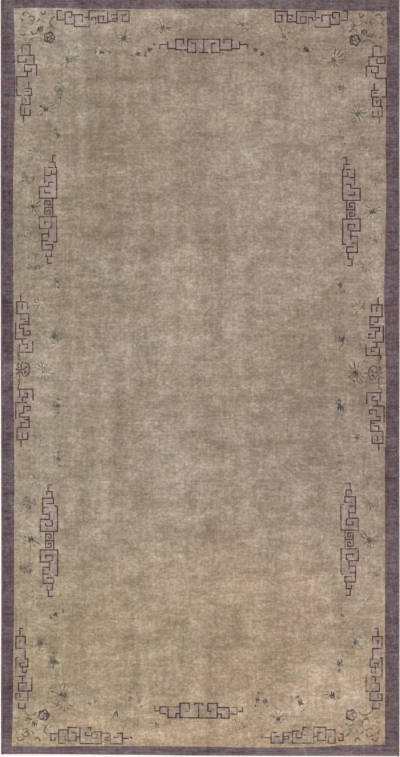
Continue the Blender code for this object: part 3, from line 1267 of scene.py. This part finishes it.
class Chart:
    """Some of the pattern's cells on the weave's grid: the dye of each, by column and row from a place."""

    def __init__(self, cell, x=0.0, y=0.0):
        self.cell = cell
        self.x = x
        self.y = y
        self.dyes = {}

    def line(self, points, wide, dye_name):
        """A line of this width through points in metres on the rug."""
        reach = wide / 2
        for (ax, ay), (bx, by) in zip(points, points[1:]):
            low_x, high_x = sorted((ax, bx))
            low_y, high_y = sorted((ay, by))
            span_x, span_y = bx - ax, by - ay
            squared = max(span_x**2 + span_y**2, 1e-12)
            for column, row in self.cells_in(low_x - reach, high_x + reach, low_y - reach, high_y + reach):
                x, y = self.middle_of(column, row)
                share = min(max(((x - ax) * span_x + (y - ay) * span_y) / squared, 0.0), 1.0)
                if math.hypot(x - ax - share * span_x, y - ay - share * span_y) <= reach:
                    self.dyes[column, row] = dye_name

    def blot(self, x, y, across, along, dye_name):
        """A filled oval."""
        for column, row in self.cells_in(x - across, x + across, y - along, y + along):
            middle_x, middle_y = self.middle_of(column, row)
            if ((middle_x - x) / across) ** 2 + ((middle_y - y) / along) ** 2 <= 1:
                self.dyes[column, row] = dye_name

    def middle_of(self, column, row):
        return self.x + (column + 0.5) * self.cell, self.y + (row + 0.5) * self.cell

    def cells_in(self, low_x, high_x, low_y, high_y):
        """Every (column, row) that lies in a rectangle."""
        columns = [math.floor((edge - self.x) / self.cell) for edge in (low_x, high_x)]
        rows = [math.floor((edge - self.y) / self.cell) for edge in (low_y, high_y)]
        for column in range(columns[0], columns[1] + 1):
            for row in range(rows[0], rows[1] + 1):
                yield column, row

    def lose_knots(self, share, scale, seed):
        """Wear some cells away, in small clusters."""
        for column, row in list(self.dyes):
            worn = noise.noise(Vector((column * scale, row * scale, seed)))
            if worn > 1.1 - 2.4 * share:
                del self.dyes[column, row]

    def join_corners(self):
        """Where two cells meet only at a corner, knot one more beside them."""
        for column, row in list(self.dyes):
            for side in (1, -1):
                far = (column + side, row + 1)
                beside, over = (column + side, row), (column, row + 1)
                if far in self.dyes and beside not in self.dyes and over not in self.dyes:
                    self.dyes[beside] = self.dyes[column, row]

    def mesh(self, names, lift):
        """Points, faces and slots: each cell's top, and a skirt round them that slopes into the ground."""
        corners, feet, leans = {}, {}, {}
        points, faces, slots = [], [], []
        for column, row in self.dyes:
            for side_x, side_y in NEIGHBOURS:
                if (column + side_x, row + side_y) not in self.dyes:
                    for corner in edge_corners(column, row, side_x, side_y):
                        lean_x, lean_y = leans.get(corner, (0, 0))
                        leans[corner] = (lean_x + side_x, lean_y + side_y)

        def top(corner):
            if corner not in corners:
                corners[corner] = len(points)
                x, y = self.x + corner[0] * self.cell, self.y + corner[1] * self.cell
                points.append(LOOM.point(x, y, lift))
            return corners[corner]

        def foot(corner):
            if corner not in feet:
                lean_x, lean_y = (min(max(side, -1), 1) for side in leans[corner])
                x, y, z = points[top(corner)]
                feet[corner] = len(points)
                points.append((x + SKIRT_OUT * lean_x, y + SKIRT_OUT * lean_y, z - SKIRT_DOWN))
            return feet[corner]

        for (column, row), dye_name in self.dyes.items():
            ring = ((column, row), (column + 1, row), (column + 1, row + 1), (column, row + 1))
            faces.append(tuple(top(corner) for corner in ring))
            slots.append(names.index(dye_name))
            for side_x, side_y in NEIGHBOURS:
                if (column + side_x, row + side_y) not in self.dyes:
                    a, b = edge_corners(column, row, side_x, side_y)
                    faces.append((top(b), top(a), foot(a), foot(b)))
                    slots.append(names.index(dye_name))
        return points, faces, slots


def edge_corners(column, row, side_x, side_y):
    """The two corners of a cell's edge on one side, anticlockwise round the cell."""
    if side_x:
        x = column + (side_x > 0)
        low, high = (x, row), (x, row + 1)
        return (low, high) if side_x > 0 else (high, low)
    y = row + (side_y > 0)
    near, far = (column, y), (column + 1, y)
    return (far, near) if side_y > 0 else (near, far)


WOOLS = {}


def wool_named(name):
    """The pattern wool of a dye, made when it is first called for."""
    if name not in WOOLS:
        fading = bpy.context.scene.rug_wear.fading + EXTRA_FADING.get(name, 0.0)
        WOOLS[name] = pattern_wool(name, fading)
    return WOOLS[name]


# How much more or less than the rest some dyes have faded
EXTRA_FADING = {
    "line": -0.20,
    "bark": -0.22,
    "indigo": -0.16,
    "slate": -0.10,
    "brown": -0.10,
    "olive": -0.04,
    "teal": 0.10,
    "lilac": 0.16,
    "haze": 0.06,
    "cream": 0.08,
    "salmon": -0.10,
}


def knot_in(name, charts):
    """One piece from several charts."""
    proud = bpy.context.scene.rug_sizes.pattern_proud
    names = sorted({dye_name for chart in charts for dye_name in chart.dyes.values()})
    points, faces, slots = [], [], []
    for chart in charts:
        chart.join_corners()
        more_points, more_faces, more_slots = chart.mesh(names, proud)
        start = len(points)
        points += more_points
        faces += [tuple(start + k for k in face) for face in more_faces]
        slots += more_slots
    materials = [wool_named(dye_name) for dye_name in names]
    piece = new_piece(name, points, faces, materials, slots, False)


STEPS = {"E": (1, 0), "W": (-1, 0), "N": (0, 1), "S": (0, -1)}


def fret_cells(parts):
    """Cells of a fret's lines on its own chart, from parts that each run forwards or backwards along it."""
    cells = set()
    for strokes, way in parts:
        for stroke in strokes:
            u, v = stroke["at"]
            cells.add((way * u, v))
            for move in stroke["moves"].split():
                step_u, step_v = STEPS[move[0]]
                for _ in range(int(move[1:])):
                    u, v = u + step_u, v + step_v
                    cells.add((way * u, v))
    return cells


def closed_in(cells, reach):
    """Cells between lines that are near each other: those within reach of a line on both sides."""
    found = set()
    for u, v in cells:
        for step_u, step_v in ((1, 0), (0, 1)):
            for gap in range(2, reach + 2):
                if (u + gap * step_u, v + gap * step_v) in cells:
                    found |= {(u + k * step_u, v + k * step_v) for k in range(1, gap)}
                    break
    return found - cells


# The parts of each fret's chart. 1 runs forwards along it and -1 backwards.
FRET_CHARTS = {
    "lying": ((FRET_LYING, 1),),
    "lying lower": ((FRET_LYING_LOWER, 1),),
    "standing": ((FRET_STANDING, 1),),
    "standing lower": ((FRET_STANDING_LOWER, 1),),
    "short": ((FRET_SHORT, 1),),
    "upper end": ((FRET_UPPER_END_HALF, 1), (FRET_UPPER_END_HALF, -1)),
    "lower end": ((FRET_LOWER_END_HALF, 1), (FRET_LOWER_END_HALF, -1)),
    "side upper": (
        (FRET_SIDE_BLOCK, 1),
        (FRET_SIDE_BLOCK, -1),
        (FRET_SIDE_ARM, 1),
        (FRET_SIDE_LONG_ARM, -1),
    ),
    "side lower": (
        (FRET_SIDE_BLOCK, 1),
        (FRET_SIDE_BLOCK, -1),
        (FRET_SIDE_LONG_ARM, 1),
        (FRET_SIDE_LONG_ARM, -1),
    ),
}
WIDEST_FILLING = 11  # cells between two lines of a fret that still get the lilac ground
DARKEST_FRETS = ("fret_upper_end", "fret_lower_end", "frets_upper_right")
WAYS = {"+x": (1, 0), "-x": (-1, 0), "+y": (0, 1), "-y": (0, -1)}


class RUG_OT_frets(bpy.types.Operator):
    """Knot the frets of the corners, the sides and the ends, with the paler ground between their lines"""

    bl_idname = "rug.knot_frets"
    bl_label = "Knot the frets"

    def execute(self, context):
        sizes = context.scene.rug_sizes
        wear = context.scene.rug_wear
        for name, rows in FRETS.items():
            line_dye = "bark" if name in DARKEST_FRETS else "line"
            charts = []
            for number, row in enumerate(rows):
                x = sizes.knot * round(row["x"] * CM / sizes.knot) - sizes.fret_line / 2
                y = sizes.knot * round(row["y"] * CM / sizes.knot) - sizes.fret_line / 2
                chart = Chart(sizes.fret_line, x, y)
                lines = fret_cells(FRET_CHARTS[row["chart"]])
                (run_x, run_y), (rise_x, rise_y) = WAYS[row["runs"]], WAYS[row["rises"]]
                for cells, dye_name in ((closed_in(lines, WIDEST_FILLING), "lilac"), (lines, line_dye)):
                    for u, v in cells:
                        chart.dyes[u * run_x + v * rise_x, u * run_y + v * rise_y] = dye_name
                chart.lose_knots(wear.gaps, 0.9, wear.seed % 97 + 5 * number)
                charts.append(chart)
            knot_in(name, charts)
        return {"FINISHED"}


def curl_points(x, y, reach, start, sweep, steps, tight=0.75):
    """Points on a curl that winds in towards its middle, with angles in degrees."""
    points = []
    for k in range(steps + 1):
        share = k / steps
        turn = math.radians(start + sweep * share)
        radius = reach * (1 - tight * share)
        points.append((x + radius * math.cos(turn), y + radius * math.sin(turn)))
    return points


def away(x, y, turn, far):
    """The point this far from a middle, in a direction in degrees."""
    return x + far * math.cos(math.radians(turn)), y + far * math.sin(math.radians(turn))


def ray(x, y, turn, near, far):
    """A line between two points on one side of a middle, in a direction in degrees."""
    return [away(x, y, turn, near), away(x, y, turn, far)]


def strokes_over(chart, draw, x, y, size, turn, dye_name, count=3):
    """Dark strokes side by side with one across them, which is how the small hearts are knotted."""
    knot = chart.cell
    for k in range(count):
        off = (k - (count - 1) / 2) * max(1.6 * size / count, 2.9 * knot)
        foot = away(x, y, turn, off)
        down = draw.uniform(0.5, 1.1) * size
        lean = turn + 90 + draw.uniform(-16, 16)
        chart.line(ray(*foot, lean, -down, draw.uniform(0.4, 1.1) * size), 2.4 * knot, dye_name)
    across = away(x, y, turn + 90, draw.uniform(-0.3, 0.3) * size)
    chart.line(ray(*across, turn + draw.uniform(-15, 15), -0.7 * size, 0.7 * size), 2.5 * knot, dye_name)


PETALS_PER_CM = 2.7
PETAL_REACH = 1.12  # the longest petals over a row's reach
BOLD = 0.45  # share of dark petals above which they are in the darkest dyes


def warm_petals(chart, draw, x, y):
    """The rosy outer petals and second heart of the largest chrysanthemum, in a lower corner."""
    for k in range(9):
        turn = 190 + 20 * k + draw.uniform(-8, 8)
        petal = ray(x + 2 * CM, y - 6 * CM, turn, 3.0 * CM, draw.uniform(5.0, 7.0) * CM)
        chart.line(petal, 2.2 * chart.cell, "salmon" if k % 2 else "brown")
    chart.blot(x - 1.6 * CM, y - 1.8 * CM, 2.0 * CM, 1.5 * CM, "teal")
    strokes_over(chart, draw, x + 1.2 * CM, y + 0.4 * CM, 2.6 * CM, 20, "indigo")


def chrysanthemum(chart, draw, row):
    """Fine pale and dark petals, longest to one side, that fan out round a darker heart."""
    x, y, size, knot = row["x"] * CM, row["y"] * CM, row["size"] * CM, chart.cell
    reach = PETAL_REACH * row["reach"] * CM
    warm = row["dark"] > 0.8 and row["y"] < -200
    petals = round(PETALS_PER_CM * row["reach"])
    bold_dyes = ("brown", "olive", "olive", row["heart"] or "brown")
    dark_dyes = bold_dyes if row["dark"] > BOLD else ("olive", "haze")
    pale_dye = "salmon" if warm else "cream"
    for k in range(petals):
        turn = 360 * k / petals + draw.uniform(-6, 6)
        long = reach * (0.84 + 0.24 * math.cos(math.radians(turn - row["fan"]))) * draw.uniform(0.75, 1.1)
        if k % 2 and draw.random() < row["pale"]:
            root = 1.1 * size + draw.uniform(0.0, 0.2) * long
            tip = max(draw.uniform(0.7, 0.95) * long, root + 1.5 * CM)
            chart.line(ray(x, y, turn, root, tip), draw.uniform(2.0, 2.8) * knot, pale_dye)
        if k % 2 == 0 and draw.random() < 0.35 + 0.65 * row["dark"]:
            root = max(draw.uniform(0.32, 0.50) * long, 1.2 * size)
            tip = max(draw.uniform(0.78, 1.0) * long, root + 1.2 * CM)
            petal_dye = draw.choice(dark_dyes)
            chart.line(ray(x, y, turn, root, tip), draw.uniform(1.5, 2.1) * knot, petal_dye)
        elif draw.random() < 0.4 * row["dark"]:
            root = draw.uniform(0.7, 0.95) * long
            chart.line(ray(x, y, turn, root, root + 0.7 * CM), 2.0 * knot, "brown")
    if row["haze"]:
        chart.blot(x + 0.3 * size, y + 0.2 * size, 1.35 * size, 1.2 * size, row["haze"])
    if row["heart"]:
        dark = "indigo" if row["heart"] == "slate" and size > 2.4 * CM else row["heart"]
        strokes_over(chart, draw, x, y, size, draw.uniform(-20, 20), dark, 2 if size < 1.8 * CM else 3)
    if warm:
        warm_petals(chart, draw, x, y)


def sprig(chart, draw, row):
    """A small dark blossom in the haze of its faded leaves, with a bud above it and another below."""
    x, y, trail, size, knot = row["x"] * CM, row["y"] * CM, row["trail"], row["size"] * CM, chart.cell
    if row["haze"]:
        for k in range(3):
            leaf = away(x, y, trail + 120 * k + draw.uniform(-30, 30), draw.uniform(0.7, 1.2) * size)
            faded = "lilac" if k == 0 and row["haze"] != "teal" else row["haze"]
            chart.blot(*leaf, draw.uniform(2.2, 3.0) * CM, draw.uniform(2.0, 3.0) * CM, faded)
    if size > 1.6 * CM:
        bed = "slate" if row["core"] in ("indigo", "line") else row["core"]
        chart.blot(x, y, 0.75 * size, 0.55 * size, bed)
    turn = trail + draw.uniform(60, 120)
    strokes_over(chart, draw, x, y, 1.1 * size, turn, row["core"], 2 if size < 2.0 * CM else 3)
    for k in range(3 if row["haze"] else 1):
        turn = trail + 180 + draw.uniform(-70, 70)
        pale = ray(x, y, turn, draw.uniform(0.9, 1.1) * size, draw.uniform(1.7, 2.3) * size)
        chart.line(pale, 2.3 * knot, "cream")
    for way, far in ((0, draw.uniform(5.2, 6.4)), (180, draw.uniform(4.4, 5.6))):
        bud = away(x, y, trail + way + draw.uniform(-12, 12), far * CM)
        wide, tall = draw.uniform(0.6, 1.0) * CM, draw.uniform(0.7, 1.1) * CM
        chart.blot(*bud, wide, tall, "brown" if way else "olive")
        aside = away(*bud, trail + 90, draw.choice((-1, 1)) * draw.uniform(1.4, 2.2) * CM)
        chart.blot(*aside, 0.5 * CM, 0.5 * CM, "olive")


def butterfly(chart, draw, row):
    """Two pairs of soft faded wings with darker edges, about a thin body."""
    x, y, flies, knot = row["x"] * CM, row["y"] * CM, row["flies"], chart.cell
    for side in (-1, 1):
        wing = away(x, y, flies + side * 52, 3.2 * CM)
        low = away(x, y, flies + side * 128, 2.9 * CM)
        chart.blot(*wing, 2.6 * CM, 2.2 * CM, "haze" if side > 0 else "lilac")
        chart.blot(*low, 2.2 * CM, 1.9 * CM, "lilac" if side > 0 else "haze")
        start = flies + side * draw.uniform(-20, 40)
        edge = curl_points(*wing, 2.7 * CM, start, side * draw.uniform(70, 120), 6, 0.2)
        chart.line(edge, 2.1 * knot, "olive" if side > 0 else "brown")
        chart.line(ray(*low, flies + side * 140, -1.0 * CM, 1.6 * CM), 2.2 * knot, "brown")
        chart.line(ray(*wing, flies + side * 60, -0.8 * CM, 0.9 * CM), 2.0 * knot, "olive")
    chart.line(ray(x, y, flies, -2.4 * CM, 2.0 * CM), 2.2 * knot, "slate")
    chart.line(ray(x, y, flies + 200, 3.4 * CM, 5.2 * CM), 2.2 * knot, "rust")


def blossom(chart, draw, x, y, reach):
    """A blossom seen from above: a dark, uneven line round five lobes, filled with lilac and curls."""
    ring = []
    for k in range(51):
        turn = math.radians(7.2 * k)
        lobed = 0.80 + 0.20 * abs(math.cos(2.5 * turn))
        radius = reach * lobed * (1.0 if k % 50 == 0 else draw.uniform(0.93, 1.05))
        ring.append((x + radius * math.cos(turn), y + radius * math.sin(turn)))
    chart.blot(x, y, 0.92 * reach, 0.92 * reach, "lilac")
    chart.line(ring, 3.4 * chart.cell, "line")
    for k in range(5):
        chart.blot(*away(x, y, 36 + 72 * k, 1.12 * reach), 0.5 * CM, 0.5 * CM, "cream")
    for k in range(3):
        middle = away(x, y, 120 * k + draw.uniform(-20, 20), 0.42 * reach)
        start = draw.uniform(0, 360)
        sweep = draw.choice((-1, 1)) * draw.uniform(190, 260)
        curl = curl_points(*middle, 0.36 * reach, start, sweep, 7, 0.4)
        chart.line(curl, 2.7 * chart.cell, "line" if k else "indigo")


def small_flower(chart, x, y, dye_name, bed):
    """A bud of three dark strokes on its bed, in a pale ring."""
    chart.blot(x, y, 3.4 * CM, 2.9 * CM, "cream")
    chart.blot(x, y, 2.8 * CM, 2.5 * CM, bed)
    for off, tall in ((-1.6, 1.6), (0.0, 2.3), (1.6, 1.9)):
        foot = (x + (off - 0.3) * CM, y - tall * CM)
        chart.line([foot, (x + (off + 0.3) * CM, y + tall * CM)], 3.2 * chart.cell, dye_name)
    chart.line([(x - 1.7 * CM, y), (x + 1.5 * CM, y + 0.3 * CM)], 2.4 * chart.cell, dye_name)


# Strokes of a corner's scrolls and leaves, by points in cm inward from the corner's point
CORNER_STROKES = table(
    "dye wide points",
    ("brown", 3.4, ((0.2, 3.2), (1.2, 1.4), (3.2, 0.9), (4.8, 2.4))),
    ("olive", 3.2, ((4.2, 5.8), (5.8, 4.2), (8.4, 4.6), (9.2, 7.0), (7.4, 8.4), (5.8, 7.2))),
    ("olive", 2.8, ((8.8, 9.2), (6.8, 10.6), (4.4, 9.8))),
    ("brown", 3.0, ((-1.2, 5.8), (0.2, 7.4), (-0.9, 9.2))),
    ("brown", 3.2, ((14.0, 1.4), (15.3, 3.4), (17.0, 2.6), (17.6, 0.6))),
    ("rust", 2.2, ((-0.8, 11.6), (2.2, 12.8), (4.6, 12.0))),
    ("rust", 2.4, ((-1.2, 14.6), (1.4, 15.4))),
    ("brown", 3.2, ((6.8, 16.4), (8.2, 18.6), (10.0, 17.4), (11.6, 17.0))),
    ("olive", 2.8, ((-1.6, 18.2), (0.4, 19.2), (2.2, 18.0))),
    ("olive", 3.6, ((4.4, 24.6), (7.0, 21.8), (10.4, 20.4), (13.0, 21.0), (14.6, 22.8))),
    ("olive", 3.2, ((24.4, 4.6), (22.0, 7.0), (20.8, 9.4), (22.2, 11.4))),
    ("olive", 3.6, ((19.4, 13.4), (22.4, 12.0), (24.8, 14.6))),
    ("olive", 2.8, ((15.4, 8.0), (17.2, 9.6))),
    ("brown", 2.6, ((11.4, 8.4), (12.8, 6.6))),
)
BLOSSOM_IN = (20.6, 20.7)
BLOSSOM_REACH = 4.1
FLOWER_IN = (13.6, 14.4)


def corner_group(chart, draw, row):
    """Scrolls, leaves, a small flower and a blossom, mirrored into a corner."""
    side = 1 if row["left"] else -1
    fall = -1 if row["upper"] else 1

    def inward(point):
        return row["x"] * CM + side * point[0] * CM, row["y"] * CM + fall * point[1] * CM

    for stroke in CORNER_STROKES:
        chart.line([inward(point) for point in stroke["points"]], stroke["wide"] * chart.cell, stroke["dye"])
    small_flower(chart, *inward(FLOWER_IN), row["flower"], row["bed"])
    blossom(chart, draw, *inward(BLOSSOM_IN), BLOSSOM_REACH * CM)


# Strokes of a roundel, by points in cm from its middle: towards the field, and along the side.
# The paired ones are on both sides of its middle.
ROUNDEL_STROKES = table(
    "dye wide paired points",
    ("brown", 3.8, True, ((0.8, 5.3), (3.0, 4.6), (4.4, 2.6), (4.6, 0.0))),
    ("brown", 2.8, True, ((-2.6, 7.2), (-4.0, 8.6), (-2.8, 10.0), (-3.8, 12.0))),
    ("indigo", 3.2, False, ((-0.8, 5.4), (-1.8, 3.4), (-1.4, 0.9))),
    ("indigo", 3.2, False, ((-3.6, 4.8), (-4.6, 2.8), (-3.4, 1.2))),
    ("line", 3.2, False, ((-5.4, 0.2), (-2.6, -0.6), (0.6, 0.4), (2.6, 2.0))),
    ("indigo", 3.2, False, ((-5.0, -3.6), (-3.2, -2.0), (-1.4, -2.2), (-0.2, -4.8))),
    ("indigo", 3.0, False, ((-3.0, -5.4), (-2.6, -3.8))),
    ("line", 2.8, False, ((2.8, -2.2), (1.2, -1.2), (0.8, -3.2))),
)


def roundel(chart, draw, row):
    """A cloud head: a round lilac back towards the field, and dark curls towards the border."""
    x, y, side = row["x"] * CM, row["y"] * CM, row["points"]
    chart.blot(x + side * 0.4 * CM, y, 4.2 * CM, 5.0 * CM, "lilac")
    for stroke in ROUNDEL_STROKES:
        for way in (1, -1) if stroke["paired"] else (1,):
            line = [(x + side * inner * CM, y + way * along * CM) for inner, along in stroke["points"]]
            chart.line(line, stroke["wide"] * chart.cell, stroke["dye"])


def knot_groups(context, rows, motif):
    """Knots each piece of a table, with a random draw of its own for each motif."""
    wear = context.scene.rug_wear
    for number, (name, group) in enumerate(rows.items()):
        chart = Chart(context.scene.rug_sizes.knot)
        for k, row in enumerate(group):
            motif(chart, random.Random(wear.seed + 101 * number + k), row)
        chart.lose_knots(0.7 * wear.gaps, 0.45, wear.seed % 89 + number)
        knot_in(name, [chart])


class RUG_OT_chrysanthemums(bpy.types.Operator):
    """Knot the chrysanthemums round the edge of the field"""

    bl_idname = "rug.knot_chrysanthemums"
    bl_label = "Knot the chrysanthemums"

    def execute(self, context):
        knot_groups(context, CHRYSANTHEMUMS, chrysanthemum)
        return {"FINISHED"}


class RUG_OT_sprigs(bpy.types.Operator):
    """Knot the small sprigs along the inside of the pattern"""

    bl_idname = "rug.knot_sprigs"
    bl_label = "Knot the sprigs"

    def execute(self, context):
        knot_groups(context, SPRIGS, sprig)
        return {"FINISHED"}


class RUG_OT_butterflies(bpy.types.Operator):
    """Knot the butterflies between the side chrysanthemums"""

    bl_idname = "rug.knot_butterflies"
    bl_label = "Knot the butterflies"

    def execute(self, context):
        knot_groups(context, BUTTERFLIES, butterfly)
        return {"FINISHED"}


class RUG_OT_corners(bpy.types.Operator):
    """Knot the cloud scrolls, leaves and blossoms of the corners"""

    bl_idname = "rug.knot_corners"
    bl_label = "Knot the corners"

    def execute(self, context):
        knot_groups(context, CORNERS, corner_group)
        return {"FINISHED"}


class RUG_OT_roundels(bpy.types.Operator):
    """Knot the roundels between the short frets of the sides"""

    bl_idname = "rug.knot_roundels"
    bl_label = "Knot the roundels"

    def execute(self, context):
        knot_groups(context, ROUNDELS, roundel)
        return {"FINISHED"}


class RUG_OT_lay(bpy.types.Operator):
    bl_idname = "rug.lay_rug"
    bl_label = "Lay the rug"

    def execute(self, context):
        return {"FINISHED"}


class RUG_OT_stage(bpy.types.Operator):
    """Set out the pale floor, the soft lights and the camera straight above"""

    bl_idname = "rug.set_stage"
    bl_label = "Set the stage"

    def execute(self, context):
        studio = context.scene.rug_studio
        make_floor(studio)
        make_lights(studio)
        make_camera(studio)
        context.scene.view_settings.view_transform = "Standard"
        return {"FINISHED"}


FLOOR_UNDER = 0.4 * MM
SUN_AWAY = 6.0


def make_floor(studio):
    half = studio.floor_size / 2
    under = -FLOOR_UNDER
    corners = [(-half, -half, under), (half, -half, under), (half, half, under), (-half, half, under)]
    mesh = bpy.data.meshes.new("floor")
    mesh.from_pydata(corners, [], [(0, 1, 2, 3)])
    material = bpy.data.materials.new("pale_floor")
    material.use_nodes = True
    shader = material.node_tree.nodes["Principled BSDF"]
    shader.inputs["Base Color"].default_value = (*studio.floor_tone, 1.0)
    shader.inputs["Roughness"].default_value = 0.9
    mesh.materials.append(material)
    floor = bpy.data.objects.new("floor", mesh)
    bpy.context.scene.collection.objects.link(floor)
    floor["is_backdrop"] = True


def make_lights(studio):
    world = bpy.data.worlds.new("studio")
    world.use_nodes = True
    background = world.node_tree.nodes["Background"]
    background.inputs["Color"].default_value = (1.0, 1.0, 1.0, 1.0)
    background.inputs["Strength"].default_value = studio.sky
    bpy.context.scene.world = world
    light = bpy.data.lights.new("soft_sun", "SUN")
    light.energy = studio.sun
    light.angle = studio.sun_spread
    sun = bpy.data.objects.new("soft_sun", light)
    lean, turn = studio.sun_lean, studio.sun_turn
    comes_from = Vector((math.sin(lean) * math.cos(turn), math.sin(lean) * math.sin(turn), math.cos(lean)))
    sun.location = SUN_AWAY * comes_from
    sun.rotation_mode = "QUATERNION"
    sun.rotation_quaternion = comes_from.to_track_quat("Z", "Y")
    bpy.context.scene.collection.objects.link(sun)


def make_camera(studio):
    """Straight above the rug, with the lens that fits the photograph's height to the frame's long side."""
    lens = bpy.data.cameras.new("camera")
    lens.sensor_fit = "AUTO"
    lens.sensor_width = 36.0
    pile = SLAB_HIGH[2]
    lens.lens = lens.sensor_width * (studio.camera_high - pile) / (PICTURE_HIGH * PIXEL)
    lens.clip_start = 0.1
    lens.clip_end = 100.0
    camera = bpy.data.objects.new("camera", lens)
    camera.location = (*PICTURE_MIDDLE, studio.camera_high)
    bpy.context.scene.collection.objects.link(camera)
    bpy.context.scene.camera = camera


GROUPS = {
    "rug_sizes": RugSizes,
    "rug_dyes": RugDyes,
    "rug_wear": RugWear,
    "rug_studio": RugStudio,
}
STEPS_IN_ORDER = (
    RUG_OT_stage,
    RUG_OT_ground,
    RUG_OT_side_cords,
    RUG_OT_frets,
    RUG_OT_chrysanthemums,
    RUG_OT_sprigs,
    RUG_OT_butterflies,
    RUG_OT_corners,
    RUG_OT_roundels,
    RUG_OT_lay,
)


class RUG_PT_panel(bpy.types.Panel):
    """Sizes, dyes, wear and studio of the rug, and the steps that make it"""

    bl_idname = "RUG_PT_panel"
    bl_label = "Hand-knotted rug"
    bl_space_type = "VIEW_3D"
    bl_region_type = "UI"
    bl_category = "Rug"

    def draw(self, context):
        for name in GROUPS:
            box = self.layout.box()
            group = getattr(context.scene, name)
            for field in group.__annotations__:
                box.prop(group, field)
        for step in STEPS_IN_ORDER:
            self.layout.operator(step.bl_idname)


def register():
    for name, group in GROUPS.items():
        bpy.utils.register_class(group)
        setattr(bpy.types.Scene, name, bpy.props.PointerProperty(type=group))
    for step in STEPS_IN_ORDER:
        bpy.utils.register_class(step)
    bpy.utils.register_class(RUG_PT_panel)


def unregister():
    bpy.utils.unregister_class(RUG_PT_panel)
    for step in reversed(STEPS_IN_ORDER):
        bpy.utils.unregister_class(step)
    for name, group in reversed(GROUPS.items()):
        delattr(bpy.types.Scene, name)
        bpy.utils.unregister_class(group)


def main():
    register()
    for step in STEPS_IN_ORDER:
        category, name = step.bl_idname.split(".")
        getattr(getattr(bpy.ops, category), name)()


if __name__ == "__main__":
    main()
